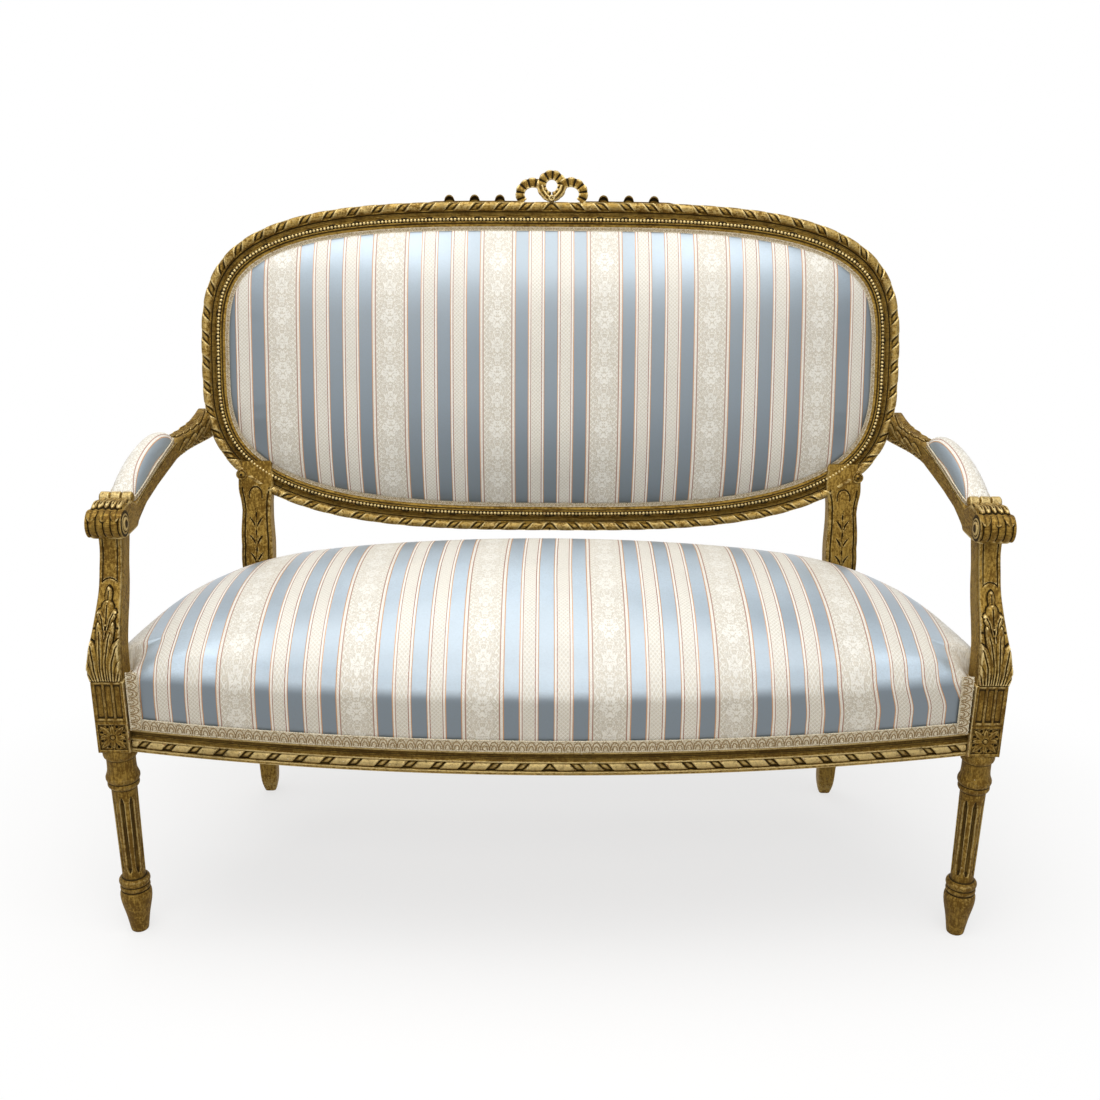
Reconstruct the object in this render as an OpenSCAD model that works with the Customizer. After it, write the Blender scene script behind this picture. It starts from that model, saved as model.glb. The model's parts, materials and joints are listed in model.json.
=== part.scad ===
// Two-seat settee with an oval medallion back, a bowed seat and turned, fluted front legs.
// x runs along the seat, y from front to back, z up. The origin is on the floor
// at the middle of the overall length and depth.

/* [Seat frame] */
// Distance between the centres of the front legs
front_leg_span = 1228; // [1000:1:1500]
// Distance between the centres of the rear legs where the rails join them
rear_leg_span = 980; // [860:1:1100]
// Distance from the face of the front legs to the face of the rear legs
leg_setback = 401; // [360:1:480]
// Height of the underside of the rails
rail_bottom = 304; // [260:1:340]
// Height of the rails
rail_height = 74; // [68:1:90]
// Thickness of the rails
rail_wall = 32; // [28:1:38]
// How far the front rail bows forward of its ends
rail_bow = 65; // [30:1:90]
// How far the rails stand back from the face of the leg blocks
rail_inset = 5; // [2:0.5:8]
// Height on the rails where the bare wood ends and the upholstery starts
show_wood = 35; // [32:1:40]
// Depth of the tacking rebate above the bare wood
tack_rebate = 4.5; // [3:0.5:6]
// Clearance between a tenon or dowel and its hole
joint_fit = 0.2; // [0.1:0.05:0.4]

/* [Legs] */
// Width of the square block on each front leg
block_size = 46; // [42:1:54]
// Height of the block, from the underside of the rails
block_height = 109; // [100:1:130]
// Height of the rosette square at the foot of the block
rosette_square = 49; // [44:1:52]
// Radius of the shaft where it leaves the upper ring
shaft_top_r = 17.9; // [16:0.1:20]
// Radius of the shaft where it meets the lower ring
shaft_low_r = 16.2; // [14:0.1:18]
// Radius of the foot on the floor
foot_r = 12.3; // [10:0.1:16]
// Radius of the rings on the turned legs
ring_r = 23; // [20:0.1:25]
// Number of flutes on each front leg
flutes = 8; // [6:1:12]
// Width of the rear legs at the rails
rear_leg_size = 40; // [36:1:48]
// Width of the stiles above the seat
stile_width = 51; // [44:1:56]
// How far the rear feet stand behind and outside their place at the rails
rear_splay = [15, 33]; // [0:1:50]

/* [Back] */
// Half of the width of the oval frame
oval_a = 574; // [480:1:640]
// Half of the height of the oval frame
oval_b = 267.4; // [220:0.1:320]
// Height of the middle of the oval above the stiles' bend, along the slope
oval_rise = 284.7; // [270:0.1:300]
// Squareness of the upper half of the oval
oval_top_power = 3.58; // [2.4:0.01:4]
// Squareness of the lower half of the oval
oval_low_power = 3.02; // [2.4:0.01:4]
// Lean of the back from upright, in degrees
back_rake = 11.5; // [5:0.5:15]
// Height of the bend of the stiles
bend_height = 488; // [480:1:500]
// Width of the moulded face of the oval frame
frame_face = 39.5; // [36:0.5:44]
// Width of the oval frame, with its rebates
frame_width = 58; // [54:1:64]
// Height of the crown of the back pad
back_crown = 40; // [24:1:50]

/* [Crest] */
// Radius of the hole in the middle loop of the bow
loop_hole_r = 9.5; // [7:0.5:11]
// Width of the ribbon of the bow
ribbon_width = 14; // [11:0.5:16]
// Thickness of the bow, front to back
bow_depth = 9; // [6:0.5:12]
// Height of the ripples of the ribbon tails
ripple_height = 9; // [5:0.5:12]
// Distance between the ripples
ripple_pitch = 41; // [34:1:46]

/* [Arms] */
// Height of the flat under each arm, where its support meets it
arm_height = 606; // [560:1:640]
// Depth of the head of each arm support
support_depth = 44; // [38:1:48]
// Radius of the scroll on the front of each arm
scroll_r = 20; // [16:0.5:22]
// Width of the scroll
scroll_width = 50; // [46:1:54]
// Radius of the dowels
dowel_r = 5; // [4:0.5:6]
// Depth of each dowel in each piece
dowel_depth = 20; // [15:1:24]

/* [Upholstery] */
// Thickness of the covers
cover_t = 2; // [1.2:0.1:3]
// Thickness of the hessian
hessian_t = 1.5; // [1:0.1:2]
// Thickness of the gimp
gimp_t = 2.4; // [1.6:0.1:3]
// Width of the gimp on the seat
seat_gimp_w = 17; // [12:1:20]
// Space between one soft layer and the next
soft_gap = 0.3; // [0.3:0.05:0.5]
// Height of the front edge of the seat above the rails
seat_edge = 37; // [28:1:50]
// Rise of the crown of the seat above its edge
seat_crown = 115; // [60:1:130]
// Height of the springs
spring_height = 120; // [100:1:130]
// Radius of the springs at their ends
spring_r = 42; // [36:1:46]
// Thickness of the spring wire
wire = 4; // [3:0.5:5]
// Height of the crown of the arm pads
arm_pad_crown = 25; // [15:1:30]

/* [Hidden] */

$fn = 48;
gilt = "darkgoldenrod";
damask = "lightsteelblue";
braid = "wheat";
jute = "peru";

front_x = front_leg_span / 2;
rear_x = rear_leg_span / 2;
block_in = front_x - block_size / 2;
block_out = front_x + block_size / 2;
rail_top = rail_bottom + rail_height;
block_top = rail_bottom + block_height;
rear_y = leg_setback + rear_leg_size / 2;

// Front rail: an arc through both blocks
bow_r = (pow(block_in, 2) + pow(rail_bow, 2)) / (2 * rail_bow);
bow_cy = rail_inset - rail_bow + bow_r;

// Side rails: straight from the front block to the rear leg
side_front = block_out - rail_inset;
side_rear = rear_x + rear_leg_size / 2 - rail_inset;
side_run = leg_setback - block_size;
side_angle = atan((side_front - side_rear) / side_run);
function side_x(y, inset = 0) =
    side_front - (y - block_size) * tan(side_angle) - inset / cos(side_angle);

rear_rail_wall = 30;
rear_rail_back = rear_y + rear_leg_size / 2 - 2;

// The seat frame is laid out from the face of the front legs, the whole piece from the middle of its depth
front_reach = rail_bow - rail_inset + 3;
back_reach = rear_y + (oval_rise + oval_b) * sin(back_rake) + 28;
mid_y = (back_reach - front_reach) / 2;
module frame() translate([0, -mid_y, 0]) children();
module both(side) mirror([side < 0 ? 1 : 0, 0, 0]) children();

// Skin over a list of rings with the same number of points, closed by its first and last ring.
// The first strips, as many as flipped says, are split along the other diagonal,
// so that rings given in reverse order match those given forwards
module loft(rings, flipped = 0) {
    k = len(rings[0]);
    n = len(rings);
    polyhedron(
        points = [for (r = rings) for (p = r) p],
        faces = concat(
            [[for (j = [0:k - 1]) j]],
            [[for (j = [k - 1:-1:0]) (n - 1) * k + j]],
            [for (i = [0:n - 2]) for (j = [0:k - 1])
                [i * k + j, (i + 1) * k + (i < flipped ? j : (j + 1) % k), i * k + (j + 1) % k]],
            [for (i = [0:n - 2]) for (j = [0:k - 1])
                [i < flipped ? (i + 1) * k + j : i * k + j,
                 i < flipped ? (i + 1) * k + (j + 1) % k : (i + 1) * k + j,
                 i < flipped ? i * k + (j + 1) % k : (i + 1) * k + (j + 1) % k]]),
        convexity = 6);
}

// Skin over rings that run round and meet again
module hoop(rings) {
    k = len(rings[0]);
    n = len(rings);
    polyhedron(
        points = [for (r = rings) for (p = r) p],
        faces = concat(
            [for (i = [0:n - 1]) for (j = [0:k - 1])
                [i * k + j, ((i + 1) % n) * k + (j + 1) % k, i * k + (j + 1) % k]],
            [for (i = [0:n - 1]) for (j = [0:k - 1])
                [i * k + j, ((i + 1) % n) * k + j, ((i + 1) % n) * k + (j + 1) % k]]),
        convexity = 6);
}

function mix(a, b, t) = a + (b - a) * t;
function reversed(list) = [for (i = [len(list) - 1:-1:0]) list[i]];

// Front legs

tenon_t = 12;
tenon_h = 46;
tenon_l = 20;
tenon_z = rail_bottom + (rail_height - tenon_h) / 2;
front_tenon_y = rail_inset + 5.5;
side_tenon_x = side_front - 17;
ring_low_z = 84.5;
ring_top_z = rail_bottom - 57;
flute_low = ring_low_z + 13;
flute_top = ring_top_z - 24;

module tenon_box(x, y, along, grow = 0) {
    size = along == "x" ? [tenon_l, tenon_t] : [tenon_t, tenon_l];
    translate([x - grow, y - grow, tenon_z - grow])
        cube([size[0] + 2 * grow, size[1] + 2 * grow, tenon_h + 2 * grow]);
}

module front_rail_tenon(grow = 0) tenon_box(block_in, front_tenon_y, "x", grow);
module side_rail_tenon(grow = 0)
    tenon_box(side_tenon_x - tenon_t / 2, block_size - tenon_l, "y", grow);

module leg_profile() {
    difference() {
        polygon([[0, 0], [foot_r, 0], [foot_r + 0.8, 2.5], [foot_r + 3, 42], [foot_r + 4.4, 50],
                 [20.5, 60], [20.5, 73], [19.2, 80], [shaft_low_r, 88], [shaft_top_r, ring_top_z - 4],
                 [shaft_top_r + 0.4, ring_top_z + 4], [shaft_top_r + 0.4, rail_bottom - 22],
                 [22, rail_bottom - 11], [22, rail_bottom], [0, rail_bottom]]);
        translate([shaft_top_r + 7.4, rail_bottom - 20]) circle(r = 7);
    }
    translate([12.7, 66]) circle(r = 9.6);
    translate([ring_r - 1.2 - 4.2, ring_low_z]) circle(r = 4.2);
    translate([ring_r - 4.6, ring_top_z]) circle(r = 4.6);
    translate([ring_r - 5, rail_bottom - 5]) circle(r = 5);
}

module flute_cutter() {
    flute_r = 2.9;
    lean = atan((shaft_top_r - shaft_low_r) / (ring_top_z - ring_low_z));
    translate([shaft_low_r + 0.7, 0, flute_low])
        rotate([0, lean, 0]) {
            cylinder(r1 = 0.3, r2 = flute_r, h = 7);
            translate([0, 0, 7]) cylinder(r = flute_r, h = flute_top - flute_low - 16);
            translate([0, 0, flute_top - flute_low - 9]) cylinder(r1 = flute_r, r2 = 0.3, h = 9);
        }
}

// One petal of a rosette, pointed at both ends
module petal(length, plump) {
    r = (pow(length / 2, 2) + pow(plump / 2, 2)) / plump;
    intersection() {
        translate([length / 2, r - plump / 2]) circle(r = r);
        translate([length / 2, plump / 2 - r]) circle(r = r);
    }
}

// Sunk flower on a block face, drawn on the xy plane and cut downwards
module rosette_cut() {
    sink = 1.6;
    drilled = 3;
    for (a = [0:45:315]) rotate(a + 22.5) translate([12, 0, -drilled]) cylinder(r = 1.9, h = 2 * drilled);
    translate([0, 0, -sink]) linear_extrude(2 * sink) difference() {
        circle(r = 15.5);
        for (a = [0:45:315]) rotate(a) translate([2, 0]) petal(12, 5.6);
        circle(r = 3.4);
    }
}

module block_flute_cut(width) {
    top = block_height - 6;
    for (i = [-1:1]) translate([i * width / 3.6, 0, 0]) {
        translate([0, 0, rosette_square + 5]) cylinder(r = 3.1, h = top - rosette_square - 12);
        translate([0, 0, top - 7]) cylinder(r1 = 3.1, r2 = 0.4, h = 7);
    }
}

module front_leg(side) color(gilt) frame() both(side) difference() {
    union() {
        translate([front_x, block_size / 2, 0]) rotate_extrude() leg_profile();
        translate([block_in, 0, rail_bottom]) cube([block_size, block_size, block_height]);
    }
    translate([front_x, block_size / 2, 0]) {
        for (i = [0:flutes - 1]) rotate(i * 360 / flutes + 180 / flutes) flute_cutter();
        for (turn = [0, 90]) rotate(turn) {
            translate([0, -block_size / 2 - 1.2, rail_bottom]) block_flute_cut(block_size);
            translate([0, -block_size / 2, rail_bottom + rosette_square / 2])
                rotate([90, 0, 0]) rosette_cut();
            translate([-block_size / 2 - 1, -block_size / 2 - 1, rail_bottom + rosette_square])
                cube([block_size + 2, 1.8, 1.4]);
        }
        translate([0, 0, block_top - dowel_depth]) cylinder(r = dowel_r + joint_fit, h = dowel_depth + 1);
    }
    front_rail_tenon(joint_fit);
    side_rail_tenon(joint_fit);
}

// Rear legs, from the floor to the underside of the oval

function oval_power(t) = sin(t) >= 0 ? oval_top_power : oval_low_power;
function signed_power(v, p) = sign(v) * pow(abs(v), p);
function oval_reach(t) =
    pow(pow(abs(cos(t)), oval_power(t)) + pow(abs(sin(t)), oval_power(t)), -1 / oval_power(t));
function oval_point(t) =
    [oval_a * oval_reach(t) * cos(t), oval_rise + oval_b * oval_reach(t) * sin(t)];
function oval_slope(t) = [
    signed_power(oval_reach(t) * cos(t), oval_power(t) - 1) / oval_a,
    signed_power(oval_reach(t) * sin(t), oval_power(t) - 1) / oval_b];
function oval_in(t, w) = oval_point(t) - w * oval_slope(t) / norm(oval_slope(t));

oval_steps = 80;
pad_steps = 40;
// Angle of a step, closer together round the corners of the oval
function oval_angle(i, steps) = i * 360 / steps + 6 * sin(4 * i * 360 / steps);

module on_back() translate([0, rear_y, bend_height]) rotate([-back_rake, 0, 0]) children();

// Everything inside the outline of the oval, for the ends of what is jointed to it
module oval_core(grow, front, back) on_back()
    translate([0, back, 0]) rotate([90, 0, 0]) linear_extrude(back - front)
        polygon([for (i = [0:oval_steps - 1]) oval_in(oval_angle(i, oval_steps), -grow)]);

// Height, sideways place, middle in depth, width and depth of each station of a rear leg
stile_top = bend_height + 130;
stile_back_y = rear_y + 9;
function rake_y(z) = stile_back_y + (z - bend_height) * tan(back_rake);
leg_stations = [
    [0, rear_x + rear_splay[0], rear_y + rear_splay[1], 20, 20],
    [10, rear_x + rear_splay[0], rear_y + rear_splay[1] - 1, 25, 25],
    [60, rear_x + rear_splay[0] * 0.9, rear_y + rear_splay[1] * 0.72, 32, 31],
    [150, rear_x + rear_splay[0] * 0.55, rear_y + rear_splay[1] * 0.3, 37, 36],
    [rail_bottom, rear_x, rear_y, rear_leg_size, rear_leg_size],
    [rail_top, rear_x, rear_y, rear_leg_size, rear_leg_size],
    [rail_top + 46, rear_x, rear_y + 1.5, stile_width - 3, rear_leg_size - 2],
    [bend_height - 14, rear_x, stile_back_y - 2, stile_width + 2, 34],
    [bend_height + 40, rear_x, rake_y(bend_height + 40), stile_width - 2, 31],
    [bend_height + 66, rear_x, rake_y(bend_height + 66), stile_width, 30],
    [bend_height + 84, rear_x, rake_y(bend_height + 84), stile_width + 7, 31],
    [stile_top, rear_x, rake_y(stile_top), stile_width + 5, 30]];

function chamfered(x, y, w, d, c) = [
    [x - w / 2 + c, y - d / 2], [x + w / 2 - c * 1.6, y - d / 2],
    [x + w / 2, y - d / 2 + c * 1.6], [x + w / 2, y + d / 2 - c],
    [x + w / 2 - c, y + d / 2], [x - w / 2 + c, y + d / 2],
    [x - w / 2, y + d / 2 - c], [x - w / 2, y - d / 2 + c]];
function lifted(ring, z) = [for (p = ring) [p[0], p[1], z]];

rear_tenon_x = rear_x - 8;
rear_rail_tenon_y = rear_rail_back - 18;
module side_rail_rear_tenon(grow = 0) tenon_box(rear_tenon_x, leg_setback, "y", grow);
module rear_rail_tenon(grow = 0)
    tenon_box(rear_x - rear_leg_size / 2, rear_rail_tenon_y, "x", grow);

module rear_leg(side) color(gilt) frame() both(side) difference() {
    loft([for (s = leg_stations) lifted(chamfered(s[1], s[2], s[3], s[4], s[0] > rail_top ? 5 : 2.5), s[0])]);
    oval_core(joint_fit, -40, 60);
    side_rail_rear_tenon(joint_fit);
    rear_rail_tenon(joint_fit);
}

// Rails

cove_r = 7.5;
twist_r = 6.5;
module rail_profile(wall) {
    difference() {
        translate([-wall, 0]) square([wall - 1, show_wood]);
        translate([cove_r - 4.5, show_wood - 10]) circle(r = cove_r);
        translate([-3, 5]) square([4, 13]);
    }
    translate([-twist_r, 5 + twist_r]) circle(r = twist_r);
    translate([-wall, show_wood - 1]) square([wall - tack_rebate, rail_height - show_wood + 1]);
}

module front_rail() color(gilt) frame() {
    intersection() {
        translate([0, bow_cy, rail_bottom]) rotate([0, 0, -120]) rotate_extrude(angle = 60, $fn = 180)
            translate([bow_r, 0]) rail_profile(rail_wall);
        translate([-block_in, -2 * rail_bow, rail_bottom - 1])
            cube([2 * block_in, 3 * rail_bow + rail_wall, rail_height + 2]);
    }
    for (side = [-1, 1]) both(side) front_rail_tenon();
}

module side_rail(side) color(gilt) frame() both(side) {
    run = side_run / cos(side_angle);
    intersection() {
        translate([side_front, block_size, rail_bottom]) rotate([0, 0, side_angle]) rotate([90, 0, 0])
            translate([0, 0, -run - rail_wall]) linear_extrude(run + 2 * rail_wall) rail_profile(rail_wall);
        translate([0, block_size, rail_bottom - 1]) cube([2 * front_x, side_run, rail_height + 2]);
    }
    side_rail_tenon();
    side_rail_rear_tenon();
}

module rear_rail() color(gilt) frame() {
    half = rear_x - rear_leg_size / 2;
    translate([half, rear_rail_back, rail_bottom]) rotate([90, 0, -90]) linear_extrude(2 * half) {
        translate([0, 0]) square([rear_rail_wall, show_wood]);
        translate([tack_rebate, 0]) square([rear_rail_wall - tack_rebate, rail_height]);
    }
    for (side = [-1, 1]) both(side) rear_rail_tenon();
}

module seat_brace() color("burlywood") frame() {
    brace_w = 36;
    brace_h = 26;
    front = rail_inset - rail_bow + rail_wall + 0.2;
    translate([-brace_w / 2, front, rail_bottom])
        cube([brace_w, rear_rail_back - rear_rail_wall - front, brace_h]);
}

glue_leg = 62;
glue_height = 50;
function bow_inner(x) = bow_cy - sqrt(pow(bow_r - rail_wall, 2) - x * x);

// Corner block in the plan of one side: front corner, then rear corner
module corner_blocks() color("burlywood") frame() for (side = [-1, 1]) both(side)
    translate([0, 0, rail_bottom + 10]) linear_extrude(glue_height) {
        gap = 0.1;
        end_y = block_size + glue_leg;
        near_y = rear_rail_back - rear_rail_wall;
        far_y = leg_setback - glue_leg;
        polygon([[block_in - glue_leg, bow_inner(block_in - glue_leg) + gap],
                 [block_in - gap, bow_inner(block_in - gap) + gap],
                 [block_in - gap, block_size + gap],
                 [side_x(block_size + gap, rail_wall + gap), block_size + gap],
                 [side_x(end_y, rail_wall + gap), end_y]]);
        polygon([[side_x(far_y, rail_wall + gap), far_y],
                 [side_x(leg_setback - gap, rail_wall + gap), leg_setback - gap],
                 [rear_x - rear_leg_size / 2 - gap, leg_setback - gap],
                 [rear_x - rear_leg_size / 2 - gap, near_y - gap],
                 [rear_x - rear_leg_size / 2 - glue_leg, near_y - gap]]);
    }

// Arms and their supports

support_x = front_x - 5.5;
support_head_y = 82;
// Height, inner side, outer side, front and back of each station of an arm support
support_stations = [
    [block_top, -20.5, 24.5, 1, 45],
    [block_top + 18, -20.5, 27, 2, 45],
    [block_top + 45, -20.5, 23, 6, 49],
    [block_top + 73, -20.5, 17, 14, 60],
    [block_top + 98, -20.5, 13, 25, 72],
    [block_top + 122, -20.5, 10.5, 37, 81],
    [block_top + 150, -20.5, 10, 48, 88],
    [arm_height - 16, -20.5, 10, 57, 98],
    [arm_height, -20.5, 11, support_head_y - support_depth / 2, support_head_y + support_depth / 2]];

module post_dowel(grow = 0) translate([front_x, block_size / 2, block_top - dowel_depth])
    cylinder(r = dowel_r + grow, h = 2 * dowel_depth);
module arm_dowel(grow = 0) translate([support_x - 0.5, support_head_y, arm_height - dowel_depth])
    cylinder(r = dowel_r + grow, h = 2 * dowel_depth);

module arm_support(side) color(gilt) frame() both(side) difference() {
    loft([for (s = support_stations)
        lifted(chamfered(front_x + (s[1] + s[2]) / 2, (s[3] + s[4]) / 2, s[2] - s[1], s[4] - s[3], 3), s[0])]);
    post_dowel(joint_fit);
    arm_dowel(joint_fit);
}

// Heights over the flat under the arm, against the distance behind the face of the legs
arm_top_line = [[40, 42], [60, 47], [86, 46], [104, 36], [110, 36], [150, 47], [200, 61], [250, 72],
                [292, 79], [320, 80], [365, 79], [415, 82], [455, 87], [480, 91]];
arm_low_line = [[40, 3], [60, 0], [104, 0], [110, 6], [150, 25], [200, 39], [250, 50],
                [292, 58], [320, 59], [365, 60], [415, 58], [455, 54], [480, 50]];
arm_mid_line = [[40, -9], [110, -10], [200, -15], [292, -24], [365, -31.5], [415, -37], [455, -38.5], [480, -38.5]];
arm_width_line = [[40, 46], [86, 46], [110, 44], [200, 41], [250, 38], [292, 33], [320, 29], [365, 27], [480, 27]];
function arm_top(y) = arm_height + lookup(y, arm_top_line);
function arm_low(y) = arm_height + lookup(y, arm_low_line);
function arm_mid(y) = front_x + lookup(y, arm_mid_line);
function arm_width(y) = lookup(y, arm_width_line);

function arm_ring(y, c = 5) = [
    for (p = [[-1, 0, 0, c], [-1, 0, c, 0], [1, 0, -c, 0], [1, 0, 0, c],
              [1, 1, 0, -c], [1, 1, -c, 0], [-1, 1, c, 0], [-1, 1, 0, -c]])
        [arm_mid(y) + p[0] * arm_width(y) / 2 + p[2], y, mix(arm_low(y), arm_top(y), p[1]) + p[3]]];

bar_y = 93;
module scroll() {
    // Reeded roll with a boss on each end
    translate([arm_mid(40), 45, arm_height + 3 + scroll_r]) rotate([0, 90, 0]) {
        difference() {
            cylinder(r = scroll_r, h = scroll_width, center = true);
            for (i = [-1.5:1:1.5]) translate([0, 0, i * scroll_width / 5]) rotate_extrude()
                translate([scroll_r + 0.6, 0]) circle(r = 2, $fn = 16);
        }
        cylinder(r = 9, h = scroll_width + 3, center = true);
    }
    // Turned bar across the arm in front of the pad
    translate([arm_mid(bar_y), bar_y, arm_top(bar_y) + 4]) rotate([0, 90, 0]) rotate_extrude()
        for (i = [-2:2]) translate([0, i * 9 - 4.4]) square([i % 2 == 0 ? 6.5 : 5.4, 9.2]);
}

module arm(side) color(gilt) frame() both(side) difference() {
    union() {
        loft([for (s = reversed(arm_top_line)) arm_ring(s[0])]);
        scroll();
    }
    arm_dowel(joint_fit);
    oval_core(joint_fit, -7.2, 60);
}

module joint_dowels() color("burlywood") frame() for (side = [-1, 1]) both(side) {
    post_dowel();
    arm_dowel();
}

// Arm pads, on the flat top of the arms

pad_front = 110;
pad_back = 292;
function pad_u(y) = (y - pad_front) / (pad_back - pad_front);
function pad_swell(y) = pow(max(0, 1 - pow(abs(2 * pad_u(y) - 1), 2.6)), 0.5);
pad_places = [110, 116, 128, 150, 175, 200, 225, 250, 272, 286, 292];
function pad_ring(y, grow, lift) = let (
    half = (arm_width(y) / 2 - pad_half) * (0.72 + 0.28 * pad_swell(y)) + grow,
    high = 3 + arm_pad_crown * pad_swell(y) + grow)
    concat([[arm_mid(y) - half, y, arm_top(y) + lift], [arm_mid(y) + half, y, arm_top(y) + lift]],
        [for (a = [25:26:155]) [arm_mid(y) + half * signed_power(cos(a), 0.8), y,
            arm_top(y) + lift + high * pow(sin(a), 0.75)]]);

module arm_pad(side) color("tan") frame() both(side)
    loft([for (y = reversed(pad_places)) pad_ring(mix(pad_front + 4, pad_back - 4, pad_u(y)), 0, 0.1)]);

// Cover over the pad, open underneath
module arm_cover(side) color(damask) frame() both(side) difference() {
    loft([for (y = reversed(pad_places)) pad_ring(mix(pad_front + 1, pad_back - 1, pad_u(y)), cover_t, 0.1)]);
    loft([for (y = reversed(pad_places))
        let (at = mix(pad_front + 3.5, pad_back - 3.5, pad_u(y)))
        [for (p = pad_ring(at, soft_gap, 0)) p[2] > arm_top(at) + 1 ? p : p - [0, 0, 1]]]);
}

// Gimp round the foot of the arm cover, as a closed band with square corners
pad_half = 3.5;
function gimp_reach(y) = (arm_width(y) / 2 - pad_half) * (0.72 + 0.28 * pad_swell(y)) + cover_t + 0.3;
gimp_y_places = concat([pad_front - 0.3], [for (i = [1:len(pad_places) - 2]) pad_places[i]], [pad_back + 0.3]);
arm_gimp_path = concat([for (y = gimp_y_places) [gimp_reach(y), y, 1]],
    [for (y = reversed(gimp_y_places)) [-gimp_reach(y), y, -1]]);
module arm_gimp(side) color(braid) frame() both(side) hoop([for (p = arm_gimp_path)
    let (along = p[1] < pad_front ? -1 : p[1] > pad_back ? 1 : 0)
    [for (q = [[0, 0], [1.6, 0], [1.6, 5], [0, 5]])
        [arm_mid(p[1]) + p[0] + p[2] * q[0], p[1] + along * q[0], arm_top(p[1]) + 0.2 + q[1]]]]);

// Oval frame of the back, a moulding swept round the oval and jointed at its four corners

roll_r = 7;
rear_rebate_d = 20;
front_rebate_d = 3;
function roll_point(a) = [roll_r - roll_r * cos(a), -roll_r * sin(a)];
frame_profile = concat(
    [for (a = [0:45:180]) roll_point(a)],
    [[14.5, 2], [18, 3], [22, 1.5], [24.5, -2.5], [25.5, -5], [28.5, -6.5], [31.5, -5], [32.5, -2],
     [frame_face, -1], [frame_face, front_rebate_d], [frame_width, front_rebate_d],
     [frame_width, rear_rebate_d], [frame_width - 10, rear_rebate_d], [frame_width - 10, 25], [5, 25], [0, 20]]);

function swept(i, steps, profile) = let (t = oval_angle(i, steps))
    [for (p = reversed(profile)) let (q = oval_in(t, p[0])) [q[0], p[1], q[1]]];

module oval_length(first, last) color(gilt) frame() on_back()
    loft([for (i = [first:last]) swept(i, oval_steps, frame_profile)]);

module back_side_right() oval_length(-10, 10);
module back_crest_rail() oval_length(10, 30);
module back_side_left() oval_length(30, 50);
module back_lower_rail() oval_length(50, 70);

// Crest carving

crest_s = oval_rise + oval_b + 0.15;
bow_cut = 4;

// One pleated ring of ribbon, thicker where each pleat stands out
function bow_ring(x, s, rx, rs, pleats, shift) = [for (i = [0:4 * pleats - 1])
    let (a = i * 90 / pleats, crease = i % 4 < 2 ? 1 : 0,
         wide = ribbon_width + (crease == 1 ? 1.4 : -0.6))
    [for (p = [[wide, -bow_depth * (0.28 + 0.2 * crease)], [wide, bow_depth / 2],
               [0, bow_depth / 2], [0, -bow_depth * (0.2 + 0.15 * crease)]])
        [x + (rx + p[0]) * cos(a + shift), p[1], s + (rs + p[0]) * sin(a + shift)]]];

module crest_bow() color(gilt) frame() on_back() translate([0, bow_depth / 2 - 1, 0]) difference() {
    union() {
        hoop(bow_ring(0, crest_s + 24, loop_hole_r, loop_hole_r, 9, 4));
        for (side = [-1, 1]) hoop(bow_ring(side * 30, crest_s + 12, loop_hole_r + 3, loop_hole_r, 9, 9));
        translate([0, -2, crest_s + 5]) rotate([-90, 0, 0]) cylinder(r = 7, h = bow_depth - 2, center = true);
    }
    translate([-80, -20, crest_s - 60]) cube([160, 40, 60]);
}

tail_start = 60;
ripple_first = 84;
ripples = 3;
tail_end = ripple_first + ripple_pitch * (ripples - 1) + 38;
function ripple(x) = max([for (i = [0:ripples - 1])
    pow(max(0, cos(min(90, abs(x - ripple_first - i * ripple_pitch) * 8))), 0.8)]);
function oval_drop(x) = oval_b * (1 - pow(1 - pow(abs(x) / oval_a, oval_top_power), 1 / oval_top_power));
tail_places = concat([tail_start, ripple_first - 16],
    [for (i = [0:ripples - 1]) for (d = [-11, -8, -4, 0, 4, 8, 11]) ripple_first + i * ripple_pitch + d],
    [tail_end - 16, tail_end]);

// Ribbon tail that lies on the crest rail and rises in ripples
module crest_ribbon(side) color(gilt) frame() on_back() both(side) loft([for (x = reversed(tail_places))
    let (low = crest_s - oval_drop(x) + 0.1,
         high = low + (x == tail_end ? 1 : 3) + ripple_height * ripple(x),
         front = 1 - 6 * ripple(x) - (x == tail_end ? -2 : 2))
    [[x, front, low], [x, 13, low], [x, 13, high], [x, front, high]]]);

// Upholstery of the back

function pad_loop(w, k, d) = [for (i = [0:pad_steps - 1])
    let (q = oval_in(oval_angle(i, pad_steps), w)) [k * q[0], d, mix(oval_rise, q[1], k)]];
function back_swell(k) = back_crown * pow(1 - pow(k, 2.6), 0.62);
pad_scales = [0.985, 0.95, 0.88, 0.78, 0.64, 0.46, 0.26, 0.08];
pad_edge_w = 52;
stuffing_d = front_rebate_d - hessian_t;

module back_panel(w, front, thick) color(jute) frame() on_back()
    translate([0, front + thick, 0]) rotate([90, 0, 0]) linear_extrude(thick)
        polygon([for (i = [0:oval_steps - 1]) oval_in(oval_angle(i, oval_steps), w)]);

module back_hessian() back_panel(frame_face + 1.5, stuffing_d, hessian_t);

module back_stuffing() color("tan") frame() on_back() loft(concat(
    [pad_loop(pad_edge_w, 1, stuffing_d), pad_loop(pad_edge_w, 1, stuffing_d - 3)],
    [for (k = pad_scales) pad_loop(pad_edge_w, k, stuffing_d - 3 - back_swell(k))]));

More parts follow.
